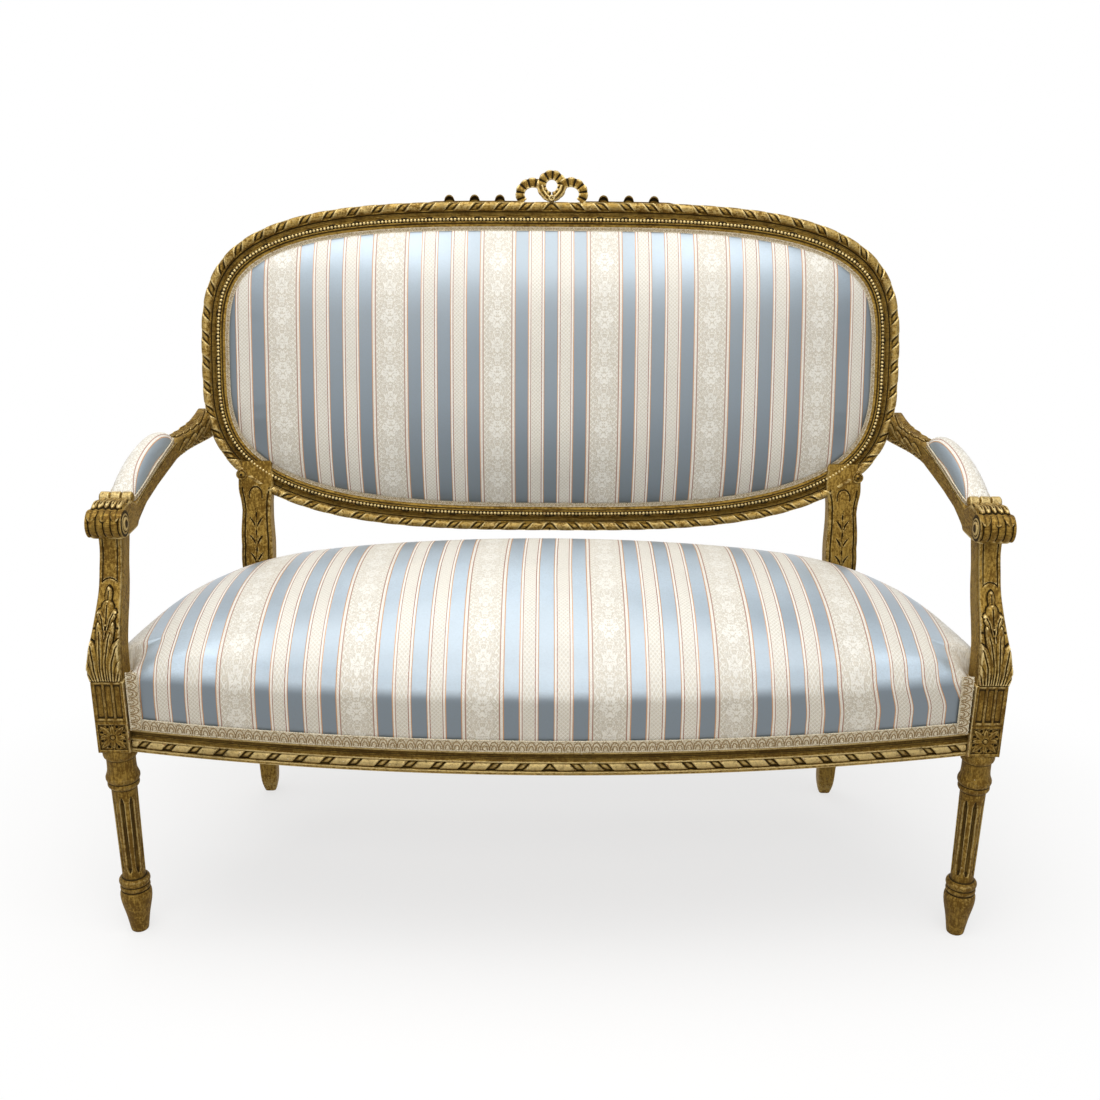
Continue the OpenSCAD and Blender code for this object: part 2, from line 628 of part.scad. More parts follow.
module back_cover() color(damask) frame() on_back() {
    inner_w = pad_edge_w - soft_gap;
    outer_w = inner_w - cover_t;
    inner_d = stuffing_d - 3 - soft_gap;
    loft(concat(
        [for (k = reversed(pad_scales)) pad_loop(inner_w, k, inner_d - back_swell(k))],
        [pad_loop(inner_w, 1, inner_d), pad_loop(inner_w, 1, stuffing_d - 0.1),
         pad_loop(frame_face + 1.5, 1, stuffing_d - 0.1), pad_loop(frame_face + 1.5, 1, stuffing_d - 0.1 - cover_t),
         pad_loop(outer_w, 1, stuffing_d - 0.1 - cover_t), pad_loop(outer_w, 1, inner_d - cover_t)],
        [for (k = pad_scales) pad_loop(outer_w, k, inner_d - cover_t - back_swell(k))]), flipped = len(pad_scales));
}

function gimp_hoop(w0, w1, front, thick) = [for (i = [0:oval_steps - 1])
    swept(i, oval_steps, [[w0, front], [w1, front], [w1, front + thick], [w0, front + thick]])];

gimp_front_d = stuffing_d - 0.1 - cover_t - 0.1 - gimp_t;
module back_gimp() color(braid) frame() on_back()
    hoop(gimp_hoop(frame_face + 0.3, pad_edge_w - soft_gap - cover_t - 0.6, gimp_front_d, gimp_t));

module back_outer_cover() back_panel(frame_width - 9.5, rear_rebate_d, cover_t);
module back_outer_gimp() color(braid) frame() on_back()
    hoop(gimp_hoop(frame_width - 9.5, frame_width, rear_rebate_d + cover_t + 0.1, gimp_t));

// Upholstery of the seat: rings round the outline of the seat, drawn in towards its middle

edge_z = rail_top + seat_edge;
layer = cover_t + soft_gap + 0.4;
wrap_low = rail_bottom + show_wood + 6;

function post_x(e) = block_in - layer + e;
function bow_y(x, e) = bow_cy - sqrt(pow(bow_r - tack_rebate + e, 2) - x * x);
function post_back(e) = block_size + layer - e;
function stile_front(e) = leg_setback - layer + e;
function stile_in(e) = rear_x - stile_width / 2 - 1 - layer + e;
seat_back_y = rear_rail_back - tack_rebate;

// Half of the outline from the middle of the front to the middle of the back: x, y and lowest height
function half_outline(e) = concat(
    [for (i = [0:7]) let (x = i * (post_x(e) - 7) / 7) [x, bow_y(x, e), wrap_low]],
    [[post_x(e), bow_y(post_x(e), e) + 1, rail_top + 2],
     [post_x(e), post_back(e), rail_top + 2],
     [side_x(post_back(e), tack_rebate - e) - 6, post_back(e), rail_top + 2]],
    [for (i = [0:4]) let (y = mix(post_back(e) + 6, stile_front(e) - 6, i / 4))
        [side_x(y, tack_rebate - e), y, wrap_low]],
    [[side_x(stile_front(e), tack_rebate - e) - 6, stile_front(e), rail_top + 2],
     [stile_in(e), stile_front(e), rail_top + 2],
     [stile_in(e), seat_back_y + e - 1, rail_top + 2],
     [stile_in(e) - 7, seat_back_y + e, wrap_low]],
    [for (i = [1:3]) [(stile_in(e) - 7) * (1 - i / 3), seat_back_y + e, wrap_low]]);

function mirrored(half) = [for (i = [len(half) - 2:-1:1]) [-half[i][0], half[i][1], half[i][2]]];
function outline(e) = concat(half_outline(e), mirrored(half_outline(e)));

// Rings over the top keep the outline's shape at the edge and round off towards the middle
seat_mid_y = 230;
seat_back_run = seat_back_y - seat_mid_y;
function seat_squareness(t) = 5 - 2.4 * min(1, t / 0.5);
function across(p, e) = p[0] / side_x(p[1], tack_rebate - e);
function along(p, e) = (p[1] - seat_mid_y)
    / (p[1] < seat_mid_y ? seat_mid_y - bow_y(p[0], e) : seat_back_run + e);
function seat_spot(u, v, e) = let (
    x = u * side_x(seat_mid_y + v * seat_back_run, tack_rebate - e))
    [x, seat_mid_y + v * (v < 0 ? seat_mid_y - bow_y(x, e) : seat_back_run + e)];
function drawn_in(p, t, e) = let (
    u = across(p, e), v = along(p, e), n = seat_squareness(t),
    full = pow(pow(abs(u), n) + pow(abs(v), n), 1 / n),
    scale = (1 - t) * mix(1, 1 / full, min(1, t / 0.16)))
    seat_spot(u * scale, v * scale, e);
function top_ring(t, e, z) = [for (p = outline(e)) let (q = drawn_in(p, t, e)) [q[0], q[1], z]];

// The crown rises more steeply at the sides than at the front and the back
crown_ease = 2.4;
crown_round = 0.55;
side_ease = 1.2;
side_round = 0.25;
function sidedness(p, e) = let (u = pow(across(p, e), 2), v = pow(along(p, e), 2)) u / (u + v);
function seat_swell(p, t, e) = let (side = sidedness(p, e)) seat_crown
    * pow(1 - pow(1 - t, mix(crown_ease, side_ease, side)), mix(crown_round, side_round, side));
function crown_ring(t, e) = [for (p = outline(e)) let (q = drawn_in(p, t, e))
    [q[0], q[1], edge_z + e + seat_swell(p, t, e)]];
function wall_ring(u, bulge, e, low) = [for (p = outline(e + bulge))
    [p[0], p[1], mix(max(low, p[2]), edge_z + e, u)]];

crown_places = [0.03, 0.08, 0.16, 0.27, 0.4, 0.56, 0.74, 0.92];
function seat_top(e) = [for (t = crown_places) crown_ring(t, e)];

spring_top = rail_bottom + spring_height;
hessian_ledge = 0.1;
hessian_table = 0.17;
hessian_top = rail_top + 0.1 + hessian_t;

module seat_hessian() color(jute) frame() loft([
    top_ring(hessian_table, 0, spring_top + 0.1), top_ring(hessian_ledge, 0, rail_top + 0.1),
    top_ring(0.01, 0, rail_top + 0.1), top_ring(0.01, 0, hessian_top), top_ring(hessian_ledge, 0, hessian_top),
    top_ring(hessian_table, 0, spring_top + 0.1 + hessian_t)], flipped = 1);

module seat_stuffing() color("tan") frame() {
    lift = 0.5;
    low = hessian_top + lift;
    loft(concat(
        [top_ring(hessian_table, 0, spring_top + 0.1 + hessian_t + lift), top_ring(hessian_ledge, 0, low)],
        [for (u = [[0, 0], [0.7, 0], [1, -1]]) wall_ring(u[0], u[1], 0, low)],
        seat_top(0)), flipped = 1);
}

seat_walls = [[0, 0], [0.3, 0.6], [0.6, 1.2], [0.85, 1], [1, -1]];
module seat_cover() color(damask) frame() {
    inner = soft_gap;
    outer = soft_gap + cover_t;
    loft(concat(
        reversed(seat_top(inner)),
        [for (u = reversed(seat_walls)) wall_ring(u[0], u[1], inner, 0)],
        [for (u = seat_walls) wall_ring(u[0], u[1], outer, 0)],
        seat_top(outer)), flipped = len(crown_places) + len(seat_walls) - 1);
}

// Gimp on the seat: one length round the front with its ends turned up beside the blocks, and straight lengths

gimp_e = soft_gap + cover_t + 0.2 + gimp_t / 2;
gimp_mid_z = rail_bottom + show_wood + 1 + seat_gimp_w / 2;
gimp_up_z = edge_z + 12;
strip_x = block_in - 3 - seat_gimp_w / 2;
function gimp_station(c, w) = [
    for (p = [[-1, 1], [1, 1], [1, -1], [-1, -1]]) c + p[0] * w + [0, p[1] * gimp_t / 2, 0]];
function gimp_y(x) = bow_y(x, gimp_e) - 0.4;
half_w = seat_gimp_w / 2;
front_gimp_places = [for (i = [-6:6]) i * (post_x(0) - 7) / 7];

module gimp_band(length) translate([0, -gimp_t / 2, -half_w]) cube([length, gimp_t, seat_gimp_w]);

module seat_gimp() color(braid) frame() {
    up = gimp_y(strip_x) - 1.2;
    loft(concat(
        [gimp_station([-strip_x, up + 1.5, gimp_up_z], [half_w, 0, 0]),
         gimp_station([-strip_x, up, edge_z - 4], [half_w, 0, 0]),
         gimp_station([-strip_x, up, gimp_mid_z], [half_w, 0, half_w])],
        [for (x = front_gimp_places) gimp_station([x, gimp_y(x), gimp_mid_z], [0, 0, half_w])],
        [gimp_station([strip_x, up, gimp_mid_z], [-half_w, 0, half_w]),
         gimp_station([strip_x, up, edge_z - 4], [-half_w, 0, 0]),
         gimp_station([strip_x, up + 1.5, gimp_up_z], [-half_w, 0, 0])]));
    start_y = post_back(0) + 2;
    stop_y = stile_front(0) - 2;
    out = tack_rebate - gimp_e - 0.4;
    for (side = [-1, 1]) both(side)
        translate([side_x(start_y, out), start_y, gimp_mid_z]) rotate([0, 0, 90 + side_angle])
            gimp_band((stop_y - start_y) / cos(side_angle));
    rear_half = stile_in(0) - 8;
    translate([-rear_half, seat_back_y + gimp_e + 0.4, gimp_mid_z]) gimp_band(2 * rear_half);
}

// Springs stand on the webbing under the rails, in rows between the front and the back

spring_columns = [-375, -225, -75, 75, 225, 375];
spring_rows = [106, 286];
spring_turns = 4;
coil_steps = 7;
function coil_u(i) = i / (spring_turns * coil_steps);
function coil_r(u) = spring_r - 13 * sin(180 * u) - wire / 2;
function coil_z(u) = wire / 2 + (spring_height - wire) * (u - 0.09 * sin(360 * u));
function coil_station(i) = let (u = coil_u(i), a = i * 360 / coil_steps, r = coil_r(u), z = coil_z(u), h = wire / 2)
    [for (b = [0:90:270]) [(r + h * sin(b)) * cos(a), (r + h * sin(b)) * sin(a), z + h * cos(b)]];

module spring() loft([for (i = [0:spring_turns * coil_steps]) coil_station(i)]);

// Least gap between one turn of a spring and the next
echo(spring_gap = min([for (i = [0:(spring_turns - 1) * coil_steps])
    let (u = coil_u(i), v = coil_u(i + coil_steps)) norm([coil_r(v) - coil_r(u), coil_z(v) - coil_z(u)])]) - wire);

module seat_springs() color("dimgray") frame()
    for (x = spring_columns) for (y = spring_rows) translate([x, y, rail_bottom]) spring();

web_w = 50;
web_t = 1.6;
module seat_webbing() color(jute) frame() {
    lap = 14;
    for (y = [spring_rows[0], mix(spring_rows[0], spring_rows[1], 0.5), spring_rows[1]])
        let (half = side_x(y + web_w / 2) - lap)
            translate([-half, y - web_w / 2, rail_bottom - web_t]) cube([2 * half, web_w, web_t]);
    for (x = spring_columns)
        let (near = bow_y(abs(x) - web_w / 2, 0) + lap, far = rear_rail_back - lap)
            translate([x - web_w / 2, near, rail_bottom - 2 * web_t]) cube([web_w, far - near, web_t]);
}

front_leg(-1);  // front_leg_left
front_leg(1);  // front_leg_right
rear_leg(-1);  // rear_leg_left
rear_leg(1);  // rear_leg_right
front_rail();
rear_rail();
side_rail(-1);  // side_rail_left
side_rail(1);  // side_rail_right
seat_brace();
corner_blocks();
arm_support(-1);  // arm_support_left
arm_support(1);  // arm_support_right
arm(-1);  // arm_left
arm(1);  // arm_right
joint_dowels();
back_crest_rail();
back_lower_rail();
back_side_left();
back_side_right();
crest_bow();
crest_ribbon(-1);  // crest_ribbon_left
crest_ribbon(1);  // crest_ribbon_right
back_hessian();
back_stuffing();
back_cover();
back_gimp();
back_outer_cover();
back_outer_gimp();
seat_webbing();
seat_springs();
seat_hessian();
seat_stuffing();
seat_cover();
seat_gimp();
arm_pad(-1);  // arm_pad_left
arm_pad(1);  // arm_pad_right
arm_cover(-1);  // arm_cover_left
arm_cover(1);  // arm_cover_right
arm_gimp(-1);  // arm_gimp_left
arm_gimp(1);  // arm_gimp_right
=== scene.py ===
# Looks of the settee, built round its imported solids.
# Sizes are in millimetres in the layout of the seat frame: x along the seat, y back from the face of
# the front legs, z up from the floor. On the sloping back they are x, depth d and height s up the slope.
import json
import math

import bpy
import numpy as np
from mathutils import Matrix, Vector

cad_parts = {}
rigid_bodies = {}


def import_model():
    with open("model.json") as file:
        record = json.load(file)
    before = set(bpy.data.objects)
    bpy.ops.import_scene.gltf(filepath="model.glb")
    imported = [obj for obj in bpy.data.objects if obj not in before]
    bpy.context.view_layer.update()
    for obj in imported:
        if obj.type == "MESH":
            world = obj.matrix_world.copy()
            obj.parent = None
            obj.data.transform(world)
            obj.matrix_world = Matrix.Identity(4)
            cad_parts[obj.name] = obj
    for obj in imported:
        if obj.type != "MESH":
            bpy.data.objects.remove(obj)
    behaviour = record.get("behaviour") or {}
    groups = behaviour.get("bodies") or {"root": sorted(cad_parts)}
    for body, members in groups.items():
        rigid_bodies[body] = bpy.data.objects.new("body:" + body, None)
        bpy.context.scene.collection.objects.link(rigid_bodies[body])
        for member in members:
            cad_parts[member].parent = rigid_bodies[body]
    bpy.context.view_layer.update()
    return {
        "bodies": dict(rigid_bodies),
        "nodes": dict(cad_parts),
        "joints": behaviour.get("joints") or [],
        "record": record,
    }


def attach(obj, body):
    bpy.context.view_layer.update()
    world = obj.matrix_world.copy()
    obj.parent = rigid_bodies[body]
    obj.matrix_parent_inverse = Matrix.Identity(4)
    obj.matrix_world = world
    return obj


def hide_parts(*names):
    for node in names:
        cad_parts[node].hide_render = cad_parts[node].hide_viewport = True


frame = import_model()
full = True

seatFrame = {
    "midY": 248.04,
    "railBottom": 304.0,
    "railHeight": 74.0,
    "railInset": 5.0,
    "railBow": 65.0,
    "blockIn": 591.0,
    "blockSize": 46.0,
    "legX": 614.0,
    "setback": 401.0,
    "rearY": 421.0,
    "rearX": 490.0,
    "rearLegSize": 40.0,
    "stileWidth": 51.0,
    "blockHeight": 109.0,
    "rebate": 4.5,
}
bowR = (seatFrame["blockIn"] ** 2 + seatFrame["railBow"] ** 2) / (2 * seatFrame["railBow"])
bowMidY = seatFrame["railInset"] - seatFrame["railBow"] + bowR
sideFront = seatFrame["blockIn"] + seatFrame["blockSize"] - seatFrame["railInset"]
sideRear = seatFrame["rearX"] + seatFrame["rearLegSize"] / 2 - seatFrame["railInset"]
sideLean = math.atan((sideFront - sideRear) / (seatFrame["setback"] - seatFrame["blockSize"]))
blockTop = seatFrame["railBottom"] + seatFrame["blockHeight"]
railTop = seatFrame["railBottom"] + seatFrame["railHeight"]


def sideX(y, inset=0.0):
    return sideFront - (y - seatFrame["blockSize"]) * math.tan(sideLean) - inset / math.cos(sideLean)


def bowY(x, out=0.0):
    return bowMidY - np.sqrt((bowR + out) ** 2 - np.asarray(x, float) ** 2)


# Curves and easing

def curve(x, table):
    # Smooth curve through a table of (place, value) rows
    xs, ys = np.array(table, float).T
    m = np.gradient(ys, xs)
    x = np.clip(x, xs[0], xs[-1])
    i = np.clip(np.searchsorted(xs, x) - 1, 0, len(xs) - 2)
    h = xs[i + 1] - xs[i]
    t = (x - xs[i]) / h
    return ((2 * t**3 - 3 * t**2 + 1) * ys[i] + (t**3 - 2 * t**2 + t) * h * m[i]
            + (3 * t**2 - 2 * t**3) * ys[i + 1] + (t**3 - t**2) * h * m[i + 1])


def ease(x, low, high):
    t = np.clip((np.asarray(x, float) - low) / (high - low), 0, 1)
    return t * t * (3 - 2 * t)


def joined(x, y, z):
    # Points from their three measures, any of which may be one value for many points
    return np.stack(np.broadcast_arrays(x, y, z), -1)


def around(count):
    return np.linspace(0, 2 * math.pi, count, endpoint=False)


def normed(ways):
    return ways / np.linalg.norm(ways, axis=-1)[..., None]


def runAlong(line):
    return np.r_[0, np.cumsum(np.linalg.norm(np.diff(line, axis=0), axis=1))]


def evenly(points, count, closed=False):
    # Points spaced evenly along a line
    points = np.asarray(points, float)
    if closed:
        points = np.vstack([points, points[:1]])
    run = runAlong(points)
    at = np.linspace(0, run[-1], count + 1 if closed else count)
    made = np.stack([np.interp(at, run, points[:, i]) for i in range(points.shape[1])], 1)
    return made[:-1] if closed else made


def filled(profile, step):
    # Extra points along the sides of a closed profile, so that its hollows can be told from its flats
    profile = np.array(profile, float)
    made = []
    for a, b in zip(profile, np.roll(profile, -1, 0)):
        count = max(1, round(float(np.hypot(*(b - a))) / step))
        made += [a + (b - a) * i / count for i in range(count)]
    return np.array(made)


def swap(sign, shape):
    return shape * np.array([sign, 1, 1])


# Shapes: closed skins gathered into one piece

class Shape:
    def __init__(self):
        self.points, self.faces, self.count = [], [], 0
        self.ends, self.grimeAndShade = [], []

    def skin(self, rings, loop=False, grimeAndShade=0.0):
        # Rings of equal length, closed round each ring, and at both ends unless they loop.
        # Grime and painted shade darken places that the tool has undercut, in millimetres of hollow
        rings = np.asarray(rings, float)
        rows, cols = rings.shape[:2]
        self.grimeAndShade.append((np.zeros((rows, cols)) + grimeAndShade).ravel())
        grid = self.count + np.arange(rows * cols).reshape(rows, cols)
        low, high = (grid, np.roll(grid, -1, 0)) if loop else (grid[:-1], grid[1:])
        quads = np.stack([low, np.roll(low, -1, 1), np.roll(high, -1, 1), high], -1).reshape(-1, 4)
        flat = rings.reshape(-1, 3)
        mid = flat.mean(0)
        a, b, c, d = (flat[quads[:, i] - self.count] - mid for i in range(4))
        volume = (np.cross(a, b) * c + np.cross(a, c) * d).sum()
        turned = volume < 0
        faces = quads[:, ::-1] if turned else quads
        self.faces += faces.tolist()
        if not loop:
            ends = [grid[0][::-1], grid[-1]]
            self.faces += [(e[::-1] if turned else e).tolist() for e in ends]
            self.ends += ends
        self.points.append(flat)
        self.count += rows * cols

    def balls(self, centres, reach, along=None, sides=8, rows=5):
        # Flattened balls, darkened with grime and painted shade where they sit: reach along the line, across
        # it and out of it
        centres = np.asarray(centres, float)
        reach = np.broadcast_to(reach, (len(centres), 3))
        up = np.linspace(0, math.pi, rows + 1)[1:-1]
        turn = around(sides)
        unit = [[0, 0, 1.0]] + [[math.sin(u) * math.cos(t), math.sin(u) * math.sin(t), math.cos(u)]
                                for u in up for t in turn] + [[0, 0, -1.0]]
        unit = np.array(unit)
        last = len(unit) - 1
        faces = [[0, 1 + j, 1 + (j + 1) % sides] for j in range(sides)]
        for i in range(len(up) - 1):
            for j in range(sides):
                a, b = 1 + i * sides + j, 1 + i * sides + (j + 1) % sides
                faces.append([a, a + sides, b + sides, b])
        low = 1 + (len(up) - 1) * sides
        faces += [[low + j, last, low + (j + 1) % sides] for j in range(sides)]
        if along is None:
            along = np.broadcast_to(np.eye(3), (len(centres), 3, 3))
        made = np.einsum("ki,ni,nij->nkj", unit, reach, along) + centres[:, None]
        self.points.append(made.reshape(-1, 3))
        self.grimeAndShade.append(np.tile(0.5 * (1 - ease(unit[:, 2], -0.1, 0.45)), len(centres)))
        for n in range(len(centres)):
            self.faces += [[self.count + n * len(unit) + v for v in f] for f in faces]
        self.count += len(centres) * len(unit)

    def tube(self, path, radius, sides=6, closed=False, flat=1.0, normal=None):
        # Cord along a path, flattened along its normal
        path = np.asarray(path, float)
        ahead = np.roll(path, -1, 0) - np.roll(path, 1, 0)
        if not closed:
            ahead[0], ahead[-1] = path[1] - path[0], path[-1] - path[-2]
        ahead = normed(ahead)
        if normal is None:
            normal = np.cross(ahead, [0.13, 0.31, 0.94])
        side = normed(np.cross(ahead, np.broadcast_to(normal, path.shape)))
        out = np.cross(side, ahead)
        turn = around(sides)
        radius = np.broadcast_to(radius, len(path))[:, None, None]
        rings = path[:, None] + radius * (np.cos(turn)[None, :, None] * side[:, None]
                                          + flat * np.sin(turn)[None, :, None] * out[:, None])
        self.skin(rings, loop=closed)

    def piece(self, name, material, slotName, nodes=(), crease=42, hollows=6, place=None, rubAndHighlightCap=9.0):
        # Place lays the points where they belong; see markHollows for hollows and for the cap on raised
        # points
        points = np.vstack(self.points)
        if place is not None:
            points = place(points)
        mesh = meshOf(name, points, self.faces)
        return finishPiece(name, mesh, material, nodes, crease, hollows, self.ends,
                           np.concatenate(self.grimeAndShade), rubAndHighlightCap)


def meshOf(name, points, faces):
    # Mesh in metres about the middle of the settee, from points in layout millimetres
    mesh = bpy.data.meshes.new(name)
    mesh.from_pydata(((points - [0, seatFrame["midY"], 0]) / 1000).tolist(), [], faces)
    return mesh


def finishPiece(name, mesh, material, nodes=(), crease=42, hollows=0, ends=(), grimeAndShade=0.0, rubAndHighlightCap=9.0):
    mesh.update()
    mesh.polygons.foreach_set("use_smooth", np.ones(len(mesh.polygons), bool))
    if crease:
        mesh.set_sharp_from_angle(angle=math.radians(crease))
    made = bpy.data.objects.new(name, mesh)
    bpy.context.scene.collection.objects.link(made)
    mesh.materials.append(material)
    if hollows:
        markHollows(mesh, hollows, ends, grimeAndShade, rubAndHighlightCap)
    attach(made, "root")
    if nodes:
        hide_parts(*nodes)
    return made


def layCloth(mesh, spread):
    # Where each point lies on the cloth, in millimetres, and how much painted sheen lightens the blue silk
    # there
    mesh.attributes.new("cloth", "FLOAT_VECTOR", "POINT").data.foreach_set("vector", spread.ravel())


def coords(mesh):
    co = np.empty(len(mesh.vertices) * 3)
    mesh.vertices.foreach_get("co", co)
    return co.reshape(-1, 3)


def markHollows(mesh, rounds, ends, grimeAndShade, rubAndHighlightCap):
    # How far each point lies under or above the skin smoothed round it, in millimetres, above it by the given
    # cap at most, plus the grime and painted shade given for each point. The gilding paints shade and grime
    # in the hollows, and rubbed wear with a painted highlight on the high points
    co = coords(mesh)
    pairs = np.empty(len(mesh.edges) * 2, np.int32)
    mesh.edges.foreach_get("vertices", pairs)
    a, b = pairs.reshape(-1, 2).T
    count = np.maximum(np.bincount(a, minlength=len(co)) + np.bincount(b, minlength=len(co)), 1)[:, None]
    smoothed = co.copy()
    for _ in range(rounds):
        total = np.stack([np.bincount(a, smoothed[b, i], len(co)) + np.bincount(b, smoothed[a, i], len(co))
                          for i in range(3)], 1)
        smoothed = 0.4 * smoothed + 0.6 * total / count
    normals = np.empty(len(co) * 3)
    mesh.vertex_normals.foreach_get("vector", normals)
    normals = normals.reshape(-1, 3)
    for ring in ends:
        loop = co[ring]
        flat = np.cross(loop, np.roll(loop, -1, 0)).sum(0)
        flat /= np.linalg.norm(flat) + 1e-12
        normals[ring] -= (normals[ring] @ flat)[:, None] * flat
        normals[ring] /= np.linalg.norm(normals[ring], axis=1)[:, None] + 1e-9
    depth = np.maximum(((smoothed - co) * normals).sum(1) * 1000, -rubAndHighlightCap) + grimeAndShade
    mesh.attributes.new("hollow", "FLOAT", "POINT").data.foreach_set("value", depth)


# Shader boards

class Wire:
    # A socket that takes part in sums
    def __init__(self, board, socket):
        self.board, self.socket = board, socket

    def math(self, operation, *others, clamp=False):
        return self.board.add("ShaderNodeMath", {"operation": operation, "use_clamp": clamp},
                              dict(enumerate(others)))

    def __add__(self, other):
        return self.math("ADD", self, other)

    def __sub__(self, other):
        return self.math("SUBTRACT", self, other)

    def __rsub__(self, other):
        return self.math("SUBTRACT", other, self)

    def __mul__(self, other):
        return self.math("MULTIPLY", self, other)

    def __truediv__(self, other):
        return self.math("DIVIDE", self, other)

    def __rtruediv__(self, other):
        return self.math("DIVIDE", other, self)

    def __pow__(self, other):
        return self.math("POWER", self, other)

    __radd__, __rmul__ = __add__, __mul__

    def size(self):
        return self.math("ABSOLUTE", self)

    def wave(self):
        return self.math("SINE", self)

    def part(self):
        return self.math("FRACT", self)

    def most(self, other):
        return self.math("MAXIMUM", self, other)

    def below(self, limit):
        return self.math("LESS_THAN", self, limit)

    def clip(self):
        return self.math("ADD", self, 0.0, clamp=True)


class Board:
    # The nodes of a new material, or of the owner that it is given
    def __init__(self, name, owner=None):
        self.owner = owner or bpy.data.materials.new(name)
        self.owner.use_nodes = True
        self.tree = self.owner.node_tree
        self.shader = self.tree.nodes.get("Principled BSDF")
        self.places = None

    def add(self, kind, settings=None, inputs=None, output=0):
        node = self.tree.nodes.new(kind)
        for key, value in (settings or {}).items():
            if key == "stops":
                ramp = node.color_ramp
                ramp.interpolation = settings.get("between", "LINEAR")
                while len(ramp.elements) < len(value):
                    ramp.elements.new(1.0)
                for element, (place, tint) in zip(ramp.elements, value):
                    element.position, element.color = place, (*tint, 1.0)
            elif key != "between":
                setattr(node, key, value)
        self.join(node, inputs or {})
        return Wire(self, node.outputs[output])

    def join(self, node, inputs):
        for key, value in inputs.items():
            if isinstance(value, Wire):
                self.tree.links.new(value.socket, node.inputs[key])
            else:
                node.inputs[key].default_value = value

    def finish(self, **sockets):
        self.join(self.shader, {key.replace("_", " "): value for key, value in sockets.items()})
        return self.owner

    def mixed(self, share, first, second, end="Material Output"):
        # Two shaders mixed straight into the surface
        both = self.add("ShaderNodeMixShader", {}, {0: share, 1: first, 2: second})
        self.join(self.tree.nodes[end], {"Surface": both})

    def seen(self):
        # 1 for the camera, and for what it sees by mirrors and glass
        camera, glossy, glass = (self.add("ShaderNodeLightPath", output=f"Is {kind} Ray")
                                 for kind in ("Camera", "Glossy", "Transmission"))
        return camera.most(glossy).most(glass)

    def place(self):
        if self.places is None:
            self.places = self.add("ShaderNodeTexCoord", output=3)
        return self.places

    def stretched(self, x, y, z):
        return self.add("ShaderNodeMapping", {}, {"Vector": self.place(), "Scale": (x, y, z)})

    def noise(self, scale, detail=4.0, rough=0.5, at=None):
        return self.add("ShaderNodeTexNoise", {}, {"Vector": at or self.place(), "Scale": scale,
                                                   "Detail": detail, "Roughness": rough})

    def attribute(self, name, output=2):
        return self.add("ShaderNodeAttribute", {"attribute_name": name}, output=output)

    def split(self, vector):
        first = self.add("ShaderNodeSeparateXYZ", {}, {0: vector})
        return [Wire(self, s) for s in first.socket.node.outputs]

    def steps(self, value, low, high):
        return self.add("ShaderNodeMapRange", {"interpolation_type": "SMOOTHSTEP"},
                        {"Value": value, "From Min": low, "From Max": high})

    def mix(self, share, first, second):
        if not isinstance(first, Wire):
            first = (*first, 1.0)
        if not isinstance(second, Wire):
            second = (*second, 1.0)
        return self.add("ShaderNodeMix", {"data_type": "RGBA"}, {0: share, 6: first, 7: second}, output=2)

    def ramp(self, value, stops, between="LINEAR"):
        return self.add("ShaderNodeValToRGB", {"between": between, "stops": stops}, {0: value})

    def bump(self, height, depth):
        return self.add("ShaderNodeBump", {}, {"Height": height, "Distance": depth, "Strength": 1.0})


def shade(red, green, blue):
    # A colour as a paint chart gives it, from 0 to 255, turned into light
    return tuple((c / 255 / 12.92) if c < 10.3 else ((c / 255 + 0.055) / 1.055) ** 2.4
                 for c in (red, green, blue))


# Finishes

giltLook = {
    # The rubbed colour also stands for painted highlight, and the grime colour for painted shade in the
    # hollows
    "rubbedAndHighlight": shade(218, 196, 138),
    "leaf": shade(164, 133, 62),
    "toned": shade(94, 68, 20),
    "grimeAndShade": shade(24, 15, 2),
    "bole": shade(112, 48, 18),
    "gesso": shade(210, 200, 176),
    "soot": shade(54, 36, 8),
    "shine": (1.0, 0.78, 0.42),
    "grain": 0.0011,
}


